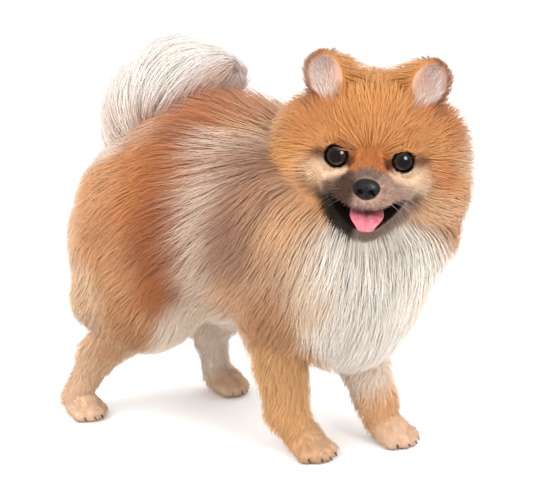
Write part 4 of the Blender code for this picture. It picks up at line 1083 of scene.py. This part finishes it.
def grow_long(body, roots, reach, top, sway, rings):
    """Paths of long hair that rise from the skin and follow its lie at a share of the coat's depth."""
    at, paths = roots, []
    for ring in range(rings):
        share = ring / (rings - 1)
        if ring:
            normal, lie = body.survey(at)[2:]
            across = np.cross(normal, lie)
            way = unit(along_skin(lie, normal, 0.9) + across * sway[:, None] * share)
            at = at + way * (reach / (rings - 1))[:, None]
            lift = SKIN_LEVEL + (1 - SKIN_LEVEL) * top * share**0.6
        else:
            lift = np.full(len(at), SKIN_LEVEL - 0.05)
        for _ in range(2):
            flesh, tips, normal, lie = body.survey(at)
            at = at - normal * (flesh + (tips - flesh) * lift)[:, None]
        paths.append(at)
    return np.stack(paths, 1)


def grow_short(roots, normal, way, reach, rise, rings):
    """Paths of short hair that stand up by an angle at the root and bend towards the skin."""
    at = roots - normal * 0.05
    paths = [at]
    for ring in range(1, rings):
        lean = rise * (1.0 - 0.75 * (ring - 1) / max(rings - 2, 1))
        step = way * np.cos(lean)[:, None] + normal * np.sin(lean)[:, None]
        at = at + step * (reach / (rings - 1))[:, None]
        paths.append(at)
    return np.stack(paths, 1)


def gather(path, pull, every):
    """Draws tufts towards their nearest guide, so that they hang in locks."""
    guides = path[::every]
    tree = KDTree(len(guides))
    for number, point in enumerate(guides[:, 0]):
        tree.insert(point, number)
    tree.balance()
    nearest = np.array([tree.find(point)[1] for point in path[:, 0]])
    share = np.linspace(0, 1, path.shape[1])[None, :, None]
    offset = (path[:, :1] - guides[nearest][:, :1]) * (1 - 0.6 * share)
    return path + (guides[nearest] + offset - path) * pull[:, None, None] * share**1.2


def tint_of(path, draw, spread):
    """The colour of each tuft at each ring: its marking, its own tone, and a root darkened with painted shade
    for the depth of the coat.
    """
    low, high = marking(path[:, 1]), marking(path[:, -2])
    share = np.linspace(0, 1, path.shape[1])
    along = share[None, :, None]
    mixed = low[:, None] * (1 - along) * 0.6 + high[:, None] * (0.4 + 0.6 * along)
    muzzle = np.exp(-((far_from(path[:, 0], on_head(0, 2.2, -1.9)) / 1.5) ** 2))
    own = np.exp(draw.normal(0, 1, len(path)) * (spread + 0.5 * muzzle) + 0.06 * waves(path[:, 0], 1.6, 5))
    own *= np.exp(0.3 * muzzle * waves(path[:, 0], 0.5, 6))
    warm = np.exp(draw.normal(0, spread * 0.35, len(path)))[:, None] ** vec(-0.3, 0.3, 1.0)
    # Painted shade: the root is darkened for the depth of the coat, fading out over the first part of the
    # tuft
    shade = ROOT_PAINTED_SHADE + (1 - ROOT_PAINTED_SHADE) * np.minimum(share * 1.6, 1)
    return np.clip(mixed * own[:, None, None] * warm[:, None, :] * shade[None, :, None], 0, PALEST)


def long_coat(points, corners, settings, draw):
    """The long coat of trunk, cheeks and tail, by name."""
    middle = points[corners].mean(1)
    parts = part_of(middle)
    density = np.where(coat_depth(middle, parts) > 1.0, settings.long_density, 0.0)
    density = density * np.where(parts == "tail", 1.3, 1.0) * np.where(parts == "head", 1.5, 1.0)
    density[buried(middle, parts) | bare(middle)] = 0
    roots, pick = sow(points, corners, density, draw)
    parts = parts[pick]
    grown = {}
    for name, (share, loose, pull) in LONG_HABITS.items():
        here = parts == name
        root, part = roots[here], parts[here]
        count = len(root)
        deep = coat_depth(root, part) * (1 - SKIN_LEVEL)
        top = 0.36 + 0.66 * draw.random(count) ** 0.7 + 0.09 * draw.random(count) ** 8
        reach = np.minimum((0.5 + 2.0 * deep) * (0.6 + 0.5 * top) * share, settings.longest / CM)
        sway = 0.26 * waves(root, 5.0, 3) + 0.16 * waves(root, 1.8, 4) + draw.normal(0, loose, count)
        path = grow_long(BODIES[name], root, reach, top, sway, 4)
        path = gather(path, pull * draw.random(count) ** 1.5, settings.lock_size)
        normal = BODIES[name].survey(path[:, 2])[2]
        radius = settings.long_width / CM / 2 * draw.uniform(0.6, 1.3, count)
        grown[name] = Coat(root, part, path, normal, radius, tint_of(path, draw, 0.055))
    return grown


def short_lie(roots, parts):
    """The way that short hair lies at the roots, and which roots are inside an ear."""
    lie, cupped = np.zeros((len(roots), 3)), np.zeros(len(roots), bool)
    for part in np.unique(parts):
        here = parts == part
        if part in BODIES:
            lie[here] = BODIES[part].survey(roots[here])[3]
        else:
            axes, middle = ear_axes(part[4:])
            lie[here] = axes[2] + unit(roots[here] - middle) * 0.45 + axes[1] * 0.15
            cupped[here] = ear_cup(roots[here], part[4:]) < 0.16
    return lie, cupped


def comb(way, normal, roots, parts):
    """Turns short hair aside at the eyes, down to the crown on the ears' inner edges and up at their feet.

    It gives the ways, and how much each root counts as the foot of an ear, the surround of an eye, the inner
    edge of an ear and the height of an ear.
    """
    foot, round_eye, crownward, height = np.zeros((4, len(roots)))
    off_ear = ~np.char.startswith(parts.astype(str), "ear")
    for side, sign in SIDES.items():
        axes, middle = ear_axes(side)
        gaze, gone = gaze_axes(side)[1], roots - eye_place(side)
        close = within(np.linalg.norm(gone, axis=1), EYE_RADIUS + 1.15, 0.6)
        aside = unit(gone - (gone @ gaze)[:, None] * gaze)
        way = unit(way * (1 - 0.6 * close)[:, None] + aside * close[:, None] * 1.6)
        round_eye = np.maximum(round_eye, close)
        here = parts == "ear_" + side
        inward = np.clip(-(roots - middle) @ axes[0] * sign, 0, 1) * here
        crown = HEAD_AXES[0] * sign + axes[2] * 0.55
        way = unit(way * (1 - 0.8 * inward)[:, None] - crown * inward[:, None])
        height = np.where(here, np.clip((roots - middle) @ axes[2] - 0.6, 0, 1), height)
        crownward = np.maximum(crownward, inward)
        near = np.exp(-((np.linalg.norm(roots - middle + axes[2] * 1.6, axis=1) / 1.5) ** 2)) * off_ear
        way = unit(way + (axes[2] + normal * 0.4) * near[:, None] * 1.6)
        foot = np.maximum(foot, near)
    return way, foot, round_eye, crownward, height


def short_coat(points, normals, corners, settings, draw):
    """The short coat of face, ears, legs and feet."""
    middle = points[corners].mean(1)
    parts = part_of(middle)
    face = np.isin(parts, ("head", "jaw"))
    ear = np.char.startswith(parts.astype(str), "ear")
    density = np.where(coat_depth(middle, parts) <= 1.15, settings.short_density, 0.0)
    density = density * np.where(face, 3.6, 1.0) * np.where(ear, 2.6, 1.0)
    density[(buried(middle, parts) & ~ear) | bare(middle)] = 0
    roots, pick = sow(points, corners, density, draw)
    parts, face, ear, count = parts[pick], face[pick], ear[pick], len(roots)
    normal = unit(normals[corners[pick]].sum(1))
    depth = coat_depth(roots, parts)
    lie, cupped = short_lie(roots, parts)
    way = along_skin(lie, normal)
    across = np.cross(normal, way)
    way = unit(way + across * (0.25 * waves(roots, 2.2, 8) + draw.normal(0, 0.24, count))[:, None])
    way, foot, round_eye, crownward, height = comb(way, normal, roots, parts)
    on_ear = np.where(cupped, 0.85, 0.9 + 0.9 * crownward) * (1 - 0.5 * height)
    reach = np.where(ear, on_ear, 0.28 + 1.25 * depth + 1.1 * foot)
    reach *= (1 - 0.5 * round_eye) * draw.uniform(0.6, 1.3, count)
    rise = np.where(ear, np.where(cupped, 0.5, 0.55), 0.5 + 0.4 * foot) * (1 - 0.6 * round_eye)
    rise *= draw.uniform(0.5, 1.5, count)
    path = grow_short(roots, normal, way, reach, rise, 3)
    path = gather(path, draw.uniform(0.0, 0.3, count), settings.lock_size)
    path[:, :, 2] = np.maximum(path[:, :, 2], LOWEST_HAIR)
    radius = settings.short_width / CM / 2 * draw.uniform(0.7, 1.2, count) * np.where(face | ear, 0.62, 1.0)
    return Coat(roots, parts, path, normal, radius, tint_of(path, draw, 0.06))


# Small pieces made by Geometry Nodes


def curved_spike_tree(name, material, sides, seed):
    """Spikes of one bent tapered shape on points, turned by each point's own angles."""
    tree = bpy.data.node_groups.new(name, "GeometryNodeTree")
    tree.interface.new_socket("Points", in_out="INPUT", socket_type="NodeSocketGeometry")
    for label, kind, default in (
        ("Length", "Float", 0.005), ("Thickness", "Float", 0.001), ("Bend", "Float", 0.3),
        ("Seed", "Int", seed),
    ):
        socket = tree.interface.new_socket(label, in_out="INPUT", socket_type="NodeSocket" + kind)
        socket.default_value = default
    tree.interface.new_socket("Mesh", in_out="OUTPUT", socket_type="NodeSocketGeometry")
    new, link = tree.nodes.new, tree.links.new
    start, end = new("NodeGroupInput"), new("NodeGroupOutput")

    def times(value, share):
        product = new("ShaderNodeMath")
        product.operation = "MULTIPLY"
        link(value, product.inputs[0])
        if isinstance(share, float):
            product.inputs[1].default_value = share
        else:
            link(share, product.inputs[1])
        return product.outputs[0]

    def spot(across, along):
        vector = new("ShaderNodeCombineXYZ")
        link(times(start.outputs["Length"], across), vector.inputs["Z"])
        link(times(start.outputs["Length"], along), vector.inputs["X"])
        return vector.outputs[0]

    curve = new("GeometryNodeCurveQuadraticBezier")
    curve.inputs["Resolution"].default_value = 8
    curve.inputs["Start"].default_value = (0, 0, 0)
    link(spot(0.12, 0.55), curve.inputs["Middle"])
    link(spot(times(start.outputs["Bend"], -1.0), 1.0), curve.inputs["End"])
    taper = new("ShaderNodeFloatCurve")
    points = taper.mapping.curves[0].points
    points[0].location = (0.0, 1.0)
    points[1].location = (1.0, 0.06)
    points.new(0.6, 0.62)
    taper.mapping.update()
    link(new("GeometryNodeSplineParameter").outputs["Factor"], taper.inputs["Value"])
    circle = new("GeometryNodeCurvePrimitiveCircle")
    circle.inputs["Resolution"].default_value = sides
    link(start.outputs["Thickness"], circle.inputs["Radius"])
    sweep = new("GeometryNodeCurveToMesh")
    sweep.inputs["Fill Caps"].default_value = True
    link(curve.outputs[0], sweep.inputs["Curve"])
    link(circle.outputs[0], sweep.inputs["Profile Curve"])
    link(taper.outputs[0], sweep.inputs["Scale"])
    turn = new("GeometryNodeInputNamedAttribute")
    turn.data_type = "FLOAT_VECTOR"
    turn.inputs["Name"].default_value = "turn"
    size = new("FunctionNodeRandomValue")
    size.inputs[2].default_value, size.inputs[3].default_value = 0.85, 1.12
    link(start.outputs["Seed"], size.inputs["Seed"])
    place = new("GeometryNodeInstanceOnPoints")
    for output, label in (
        (start.outputs["Points"], "Points"), (sweep.outputs[0], "Instance"), (turn.outputs[0], "Rotation"),
        (size.outputs[1], "Scale"),
    ):
        link(output, place.inputs[label])
    last = place
    for kind in ("GeometryNodeRealizeInstances", "GeometryNodeSetShadeSmooth", "GeometryNodeSetMaterial"):
        following = new(kind)
        link(last.outputs[0], following.inputs[0])
        last = following
    last.inputs["Material"].default_value = material
    link(last.outputs[0], end.inputs[0])
    return tree


def spikes(name, roots, ways, tree, values):
    """A plain mesh of the tree's spikes on the roots, each pointing its own way."""
    mesh = bpy.data.meshes.new(name)
    mesh.from_pydata([tuple(point) for point in to_part(roots)], [], [])
    turns = mesh.attributes.new("turn", "FLOAT_VECTOR", "POINT")
    angles = [Vector(way).to_track_quat("X", "Z").to_euler() for way in ways]
    turns.data.foreach_set("vector", np.array(angles).ravel())
    made = add_object(name, mesh)
    modifier = made.modifiers.new("Spikes", "NODES")
    modifier.node_group = tree
    for item in tree.interface.items_tree:
        if item.in_out == "INPUT" and item.name in values:
            modifier[item.identifier] = values[item.name]
    graph = bpy.context.evaluated_depsgraph_get()
    graph.update()
    done = bpy.data.meshes.new_from_object(made.evaluated_get(graph))
    made.modifiers.clear()
    made.data = done
    return made


# The add-on's settings


class PomeranianCoatSettings(bpy.types.PropertyGroup):
    """How dense, wide and long the tufts are."""

    long_density: bpy.props.FloatProperty(
        name="Long tufts", description="Long tufts on a square centimetre of skin", default=46.0, min=1.0
    )
    short_density: bpy.props.FloatProperty(
        name="Short tufts", description="Short tufts on a square centimetre of leg", default=52.0, min=1.0
    )
    long_width: bpy.props.FloatProperty(
        name="Long tuft width", description="Width of a long tuft", default=0.00039, unit="LENGTH"
    )
    short_width: bpy.props.FloatProperty(
        name="Short tuft width", description="Width of a short tuft", default=0.00038, unit="LENGTH"
    )
    longest: bpy.props.FloatProperty(
        name="Longest hair", description="Length that no tuft passes", default=0.058, unit="LENGTH"
    )
    lock_size: bpy.props.IntProperty(
        name="Tufts to a lock", description="How many tufts hang together", default=14, min=2
    )
    seed: bpy.props.IntProperty(name="Seed", description="Seed of the random draws", default=7)


class PomeranianStageSettings(bpy.types.PropertyGroup):
    """The light and the view."""

    lens: bpy.props.FloatProperty(name="Lens", description="Focal length", default=124.5, unit="CAMERA")
    distance: bpy.props.FloatProperty(
        name="Distance", description="From the camera to the middle of the dog", default=1.30, unit="LENGTH"
    )
    azimuth: bpy.props.FloatProperty(
        name="Azimuth", description="Where the camera stands round the dog", default=math.radians(-58.515),
        subtype="ANGLE"
    )
    elevation: bpy.props.FloatProperty(
        name="Elevation", description="How far the camera looks down", default=math.radians(17.0),
        subtype="ANGLE"
    )
    world_light: bpy.props.FloatProperty(name="Soft light", description="Light from all round", default=1.42)
    key_light: bpy.props.FloatProperty(name="Key light", description="Power of the large lamp", default=10.0)


# Pieces

FLESH = (
    "ear_left", "ear_right", "foreleg_left", "foreleg_right", "forepaw_left", "forepaw_right", "head",
    "hindpaw_left", "hindpaw_right", "lower_jaw", "neck", "shank_left", "shank_right", "tail",
    "thigh_left", "thigh_right", "torso",
)
CLAW_SHAPE = {"Length": 0.0048, "Thickness": 0.0011, "Bend": 0.34}
WHISKER_SHAPE = {"Length": 0.021, "Thickness": 0.00017, "Bend": 0.16}

# The tongue's middle line, forward and up on the head, with its half widths and half depths
TONGUE_LINE = ((-1.0, -3.2), (0.6, -3.4), (1.9, -3.55), (2.6, -3.72), (2.98, -4.0), (3.1, -4.32))
TONGUE_WIDTHS, TONGUE_DEPTHS = (0.8, 1.06, 1.12, 0.98, 0.66, 0.44), (0.28, 0.3, 0.27, 0.24, 0.2, 0.14)
TONGUE_ASIDE, TONGUE_SIDES, TONGUE_RINGS = 0.15, 28, 31

# The stage: half the floor's width, the point in view, how much of the soft light shines in glossy things,
# and each lamp's turn, rise, distance, size and power, where none means that a setting gives it
FLOOR_REACH = 6.0
IN_VIEW = (-2.44, -3.68, 14.5)
GLOSSY_SHARE = 0.12
LAMPS = {
    "key_lamp": (42.0, 34.0, 1.6, 0.8, None),
    "fill_lamp": (-50.0, 36.0, 1.8, 1.2, 18.0),
    "rim_lamp": (160.0, 55.0, 1.8, 1.2, 5.0),
}


class POMERANIAN_OT_skin(bpy.types.Operator):
    """Makes the one skin of the whole dog with its sculpted face"""

    bl_idname = "pomeranian.skin"
    bl_label = "Skin"

    def execute(self, context):
        reach = PINCH + BOX_SPARE
        points, quads = net_of(
            lambda some: carve(skin_field(some), some[:, 2], 0.08),
            BOX_LOW - reach, BOX_HIGH + reach, CELL, magnify,
        )
        made = new_mesh("skin", points, quads)
        put_colour(made, "tint", in_parts(skin_colour, points))
        parts = part_of(points[quads].mean(1))
        put_map(made, np.stack([flat_place(points[quads[:, n]], parts) for n in range(4)], 1))
        made.data.materials.append(skin_material())
        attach(made, "root")
        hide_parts(*FLESH)
        return {"FINISHED"}


class POMERANIAN_OT_long_coat(bpy.types.Operator):
    """Grows the long coat of trunk, cheeks and tail"""

    bl_idname = "pomeranian.long_coat"
    bl_label = "Long coat"

    def execute(self, context):
        settings = context.scene.pomeranian_coat
        draw = np.random.default_rng(settings.seed)
        points, _, corners = skin_triangles()
        material = coat_material("long_hair", 0.62, 0.12)
        for name, coat in long_coat(points, corners, settings, draw).items():
            order = np.argsort(coat.root[:, 1], kind="stable")
            coat_pieces("coat_" + name, coat, order, material)
        return {"FINISHED"}


class POMERANIAN_OT_short_coat(bpy.types.Operator):
    """Grows the short coat of face, ears, legs and feet"""

    bl_idname = "pomeranian.short_coat"
    bl_label = "Short coat"

    def execute(self, context):
        settings = context.scene.pomeranian_coat
        draw = np.random.default_rng(settings.seed + 1)
        points, normals, corners = skin_triangles()
        coat = short_coat(points, normals, corners, settings, draw)
        material = coat_material("short_hair", 0.66, 0.08)
        face = np.isin(coat.part, ("head", "jaw", "ear_right", "ear_left"))
        for label, here, slot in (("coat_face", face, "ear_fur"), ("coat_legs", ~face, "paw_fur")):
            coat_pieces(label, coat, np.flatnonzero(here), material)
        return {"FINISHED"}


class POMERANIAN_OT_eyes(bpy.types.Operator):
    """Makes the two eyes, with a swelling over the iris"""

    bl_idname = "pomeranian.eyes"
    bl_label = "Eyes"

    def execute(self, context):
        material = eye_material()
        for side in SIDES:
            work = bmesh.new()
            bmesh.ops.create_uvsphere(work, u_segments=48, v_segments=32, radius=1.0)
            ball = np.array([vertex.co for vertex in work.verts])
            bmesh.ops.triangulate(work, faces=work.faces)
            faces = np.array([[vertex.index for vertex in face.verts] for face in work.faces])
            work.free()
            across, gaze, up = gaze_axes(side)
            off = np.arccos(np.clip(ball[:, 2], -1, 1))
            swell = 0.05 * np.clip(1 - (off / 0.75) ** 2, 0, 1)
            turned_ball = ball[:, :1] * across + ball[:, 1:2] * up + ball[:, 2:] * gaze
            points = eye_place(side) + turned_ball * (EYE_RADIUS - 0.01 + swell)[:, None]
            if np.linalg.det(np.stack((across, up, gaze))) < 0:
                faces = faces[:, ::-1]
            made = new_mesh("eyeball_" + side, points, faces)
            put_value(made, "off_gaze", off)
            made.data.materials.append(material)
            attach(made, "root")
            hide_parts("eye_" + side)
        return {"FINISHED"}


def nose_field(points):
    """The nose leather with its nostrils and the groove between them."""
    local = (points - on_head(*NOSE_CENTRE)) @ tilted(NOSE_TILT).T
    taper = 1 - 0.22 * np.clip(-local[:, 2] / NOSE_SIZE[2], -0.3, 1)
    narrowed = local / np.stack((taper, np.ones(len(local)), np.ones(len(local))), 1)
    value = egg(narrowed, vec(0, 0, 0), np.eye(3), NOSE_SIZE)
    for sign in (-1, 1):
        hole = egg(points, on_head(sign * 0.36, 3.62, -1.66), tilted(10.0), (0.20, 0.42, 0.17))
        slit = egg(points, on_head(sign * 0.66, 3.30, -1.86), tilted(10.0), (0.24, 0.34, 0.07))
        value = carve(carve(value, slit, 0.06), hole, 0.05)
    middle = np.exp(-((local[:, 0] / 0.05) ** 2)) * np.clip(0.35 - local[:, 2], 0, 0.5)
    return value + 0.11 * middle


class POMERANIAN_OT_nose(bpy.types.Operator):
    """Makes the leather of the nose with its nostrils"""

    bl_idname = "pomeranian.nose"
    bl_label = "Nose"

    def execute(self, context):
        middle = on_head(*NOSE_CENTRE)
        points, quads = net_of(nose_field, middle - 1.3, middle + 1.3, 0.045)
        made = new_mesh("nose_leather", points, quads)
        made.data.materials.append(grained(
            "nose_leather", 300.0, ((0.3, srgb(16, 14, 15)), (0.75, srgb(40, 35, 37))), 1900.0, 0.6,
            Roughness=0.38, Coat_Weight=0.35, Coat_Roughness=0.2,
        ))
        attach(made, "root")
        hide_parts("nose")
        return {"FINISHED"}


def tongue_mesh():
    """The tongue as a closed tube of rings round its middle line, hollowed along its top."""
    knots, fine = np.linspace(0, 1, len(TONGUE_LINE)), np.linspace(0, 1, TONGUE_RINGS)

    def smoothed(values):
        return np.convolve(np.pad(np.interp(fine, knots, values), 3, "edge"), np.ones(7) / 7, "valid")

    line = vec(*TONGUE_LINE)
    forward, up = np.interp(fine, knots, line[:, 0]), np.interp(fine, knots, line[:, 1])
    forward[3:-3], up[3:-3] = smoothed(line[:, 0])[3:-3], smoothed(line[:, 1])[3:-3]
    wide, deep = smoothed(TONGUE_WIDTHS), smoothed(TONGUE_DEPTHS)
    wide[-3:] *= (1.0, 0.9, 0.62)
    sides, last, points, faces = TONGUE_SIDES, TONGUE_RINGS - 1, [], []
    for n in range(TONGUE_RINGS):
        after, before = min(n + 1, last), max(n - 1, 0)
        along = unit(vec(forward[after] - forward[before], up[after] - up[before]))
        for s in range(sides):
            angle = 2 * math.pi * s / sides
            across, rise = math.cos(angle), math.sin(angle)
            dip = 0.55 * math.exp(-((across / 0.16) ** 2)) if rise > 0 else 0.0
            lift = deep[n] * (rise - dip) + 0.07 * across * across * wide[n]
            ahead, high = forward[n] - along[1] * lift, up[n] + along[0] * lift
            points.append(on_head(TONGUE_ASIDE + across * wide[n], ahead, high))
    for n in range(last):
        for s in range(sides):
            a, b = n * sides + s, n * sides + (s + 1) % sides
            faces += [(a, b, b + sides), (a, b + sides, a + sides)]
    for first in (0, last * sides):
        middle = len(points)
        points.append(np.mean(points[first : first + sides], 0))
        faces += [(middle, first + (s + 1) % sides, first + s) for s in range(sides)]
    made = new_mesh("tongue_flesh", np.array(points), faces)
    work = bmesh.new()
    work.from_mesh(made.data)
    bmesh.ops.recalc_face_normals(work, faces=work.faces)
    work.to_mesh(made.data)
    work.free()
    return made


class POMERANIAN_OT_tongue(bpy.types.Operator):
    """Makes the tongue that lies in the lower jaw and over its lip"""

    bl_idname = "pomeranian.tongue"
    bl_label = "Tongue"

    def execute(self, context):
        made = tongue_mesh()
        made.data.materials.append(grained(
            "tongue_flesh", 220.0, ((0.3, srgb(182, 88, 102)), (0.7, srgb(206, 120, 131))), 1300.0, 0.35,
            Roughness=0.35, Subsurface_Weight=0.15, Subsurface_Radius=(0.003, 0.001, 0.0008),
            Coat_Weight=0.3, Coat_Roughness=0.25,
        ))
        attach(made, "root")
        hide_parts("tongue")
        return {"FINISHED"}


class POMERANIAN_OT_claws(bpy.types.Operator):
    """Sets a curved claw in the end of every toe"""

    bl_idname = "pomeranian.claws"
    bl_label = "Claws"

    def execute(self, context):
        horn = mottled(
            "claw_horn", 500.0, ((0.3, srgb(38, 30, 28)), (0.7, srgb(92, 76, 68))), Roughness=0.35
        )[0]
        roots, ways = [], []
        for paws, turns, size in (
            (FOREPAW_AT, FOREPAW_TURN, FOREPAW_SIZE), (HINDPAW_AT, HINDPAW_TURN, HINDPAW_SIZE)
        ):
            for side in SIDES:
                for across, ahead in toe_places(*size):
                    roots.append(vec(*paws[side]) + turned(turns[side], across, ahead - 0.26, 0.46))
                    ways.append(turned(turns[side], across * 0.12, -1.0, -0.18))
        tree = curved_spike_tree("claw_nodes", horn, 10, 3)
        claws = spikes("claws", np.array(roots), ways, tree, CLAW_SHAPE)
        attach(claws, "root")
        return {"FINISHED"}


class POMERANIAN_OT_whiskers(bpy.types.Operator):
    """Sets the whiskers in the muzzle"""

    bl_idname = "pomeranian.whiskers"
    bl_label = "Whiskers"

    def execute(self, context):
        hair = mottled(
            "whisker_hair", 60.0, ((0.35, srgb(60, 48, 42)), (0.65, srgb(190, 176, 164))), Roughness=0.4
        )[0]
        draw = np.random.default_rng(21)
        roots, ways = [], []
        for sign in (-1, 1):
            for row in range(3):
                for number in range(4):
                    spot = (sign * (0.95 + 0.28 * number), 2.05 - 0.36 * number, -1.9 - 0.24 * row)
                    roots.append(on_head(*spot))
                    out = vec(sign * 0.9, -0.35 + 0.1 * number, 0.1 - 0.25 * row) + draw.normal(0, 0.08, 3)
                    ways.append(unit(out) @ HEAD_AXES)
        tree = curved_spike_tree("whisker_nodes", hair, 5, 9)
        whiskers = spikes("whiskers", np.array(roots), ways, tree, WHISKER_SHAPE)
        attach(whiskers, "root")
        return {"FINISHED"}


def way_to(azimuth, elevation):
    """The way from the dog to a place round it."""
    level = math.cos(elevation)
    return vec(math.sin(azimuth) * level, -math.cos(azimuth) * level, math.sin(elevation))


def look(thing, place, at):
    """Puts a camera or lamp at a place, turned to look at another."""
    thing.location = place
    thing.rotation_euler = Vector(at - place).to_track_quat("-Z", "Y").to_euler()


class POMERANIAN_OT_stage(bpy.types.Operator):
    """Lays the pale floor, lights it softly and sets the camera"""

    bl_idname = "pomeranian.stage"
    bl_label = "Stage"

    def execute(self, context):
        settings, scene = context.scene.pomeranian_stage, context.scene
        mesh = bpy.data.meshes.new("floor")
        corners = [(x * FLOOR_REACH, y * FLOOR_REACH, 0) for x, y in ((-1, -1), (1, -1), (1, 1), (-1, 1))]
        mesh.from_pydata(corners, [], [(0, 1, 2, 3)])
        pale = ((0.2, (0.93, 0.93, 0.93)), (0.8, (0.95, 0.95, 0.95)))
        mesh.materials.append(mottled("pale_floor", 3.0, pale, Roughness=0.9, Specular_IOR_Level=0.1)[0])
        floor = add_object("floor", mesh)
        floor.visible_glossy = False
        world = bpy.data.worlds.new("soft_studio")
        world.use_nodes = True
        new, link = world.node_tree.nodes.new, world.node_tree.links.new
        back = world.node_tree.nodes["Background"]
        back.inputs["Color"].default_value = (1.0, 1.0, 1.0, 1.0)
        dim = new("ShaderNodeMapRange")
        dim.inputs["To Min"].default_value = settings.world_light
        dim.inputs["To Max"].default_value = settings.world_light * GLOSSY_SHARE
        link(new("ShaderNodeLightPath").outputs["Is Glossy Ray"], dim.inputs["Value"])
        link(dim.outputs["Result"], back.inputs["Strength"])
        scene.world = world
        middle = to_part(vec(*IN_VIEW))
        camera = add_object("camera", bpy.data.cameras.new("camera"))
        look(camera, middle + way_to(settings.azimuth, settings.elevation) * settings.distance, middle)
        camera.data.lens = settings.lens
        camera.data.sensor_width = 36.0
        scene.camera = camera
        for name, (turn, rise, far, size, power) in LAMPS.items():
            lamp = add_object(name, bpy.data.lights.new(name, "AREA"))
            way = way_to(settings.azimuth + math.radians(turn), math.radians(rise))
            look(lamp, middle + way * far, middle)
            lamp.data.shape = "DISK"
            lamp.data.size = size
            lamp.data.energy = settings.key_light if power is None else power
            lamp.visible_glossy = name == "key_lamp"
        scene.view_settings.view_transform = "Standard"
        return {"FINISHED"}


class POMERANIAN_PT_panel(bpy.types.Panel):
    """Lists the pieces of the dog"""

    bl_idname = "POMERANIAN_PT_panel"
    bl_label = "Standing Pomeranian"
    bl_space_type = "VIEW_3D"
    bl_region_type = "UI"
    bl_category = "Pomeranian"

    def draw(self, context):
        """Shows the settings and one button for each piece."""
        layout = self.layout
        for group in (context.scene.pomeranian_coat, context.scene.pomeranian_stage):
            column = layout.column()
            for name in group.bl_rna.properties.keys():
                if name not in ("rna_type", "name"):
                    column.prop(group, name)
        for piece in PIECES:
            layout.operator(piece.bl_idname)


PIECES = (
    POMERANIAN_OT_stage, POMERANIAN_OT_skin, POMERANIAN_OT_eyes, POMERANIAN_OT_nose, POMERANIAN_OT_tongue,
    POMERANIAN_OT_claws, POMERANIAN_OT_whiskers, POMERANIAN_OT_short_coat, POMERANIAN_OT_long_coat,
)
CLASSES = (PomeranianCoatSettings, PomeranianStageSettings, *PIECES, POMERANIAN_PT_panel)


def register():
    """Registers every class and hangs the settings on the scene."""
    for one in CLASSES:
        bpy.utils.register_class(one)
    bpy.types.Scene.pomeranian_coat = bpy.props.PointerProperty(type=PomeranianCoatSettings)
    bpy.types.Scene.pomeranian_stage = bpy.props.PointerProperty(type=PomeranianStageSettings)


def unregister():
    """Takes the settings and classes away again."""
    del bpy.types.Scene.pomeranian_stage
    del bpy.types.Scene.pomeranian_coat
    for one in reversed(CLASSES):
        bpy.utils.unregister_class(one)


def main():
    """Makes every piece in order."""
    register()
    for piece in PIECES:
        getattr(bpy.ops.pomeranian, piece.bl_idname.split(".")[1])()
    bpy.context.view_layer.update()


if __name__ == "__main__":
    main()
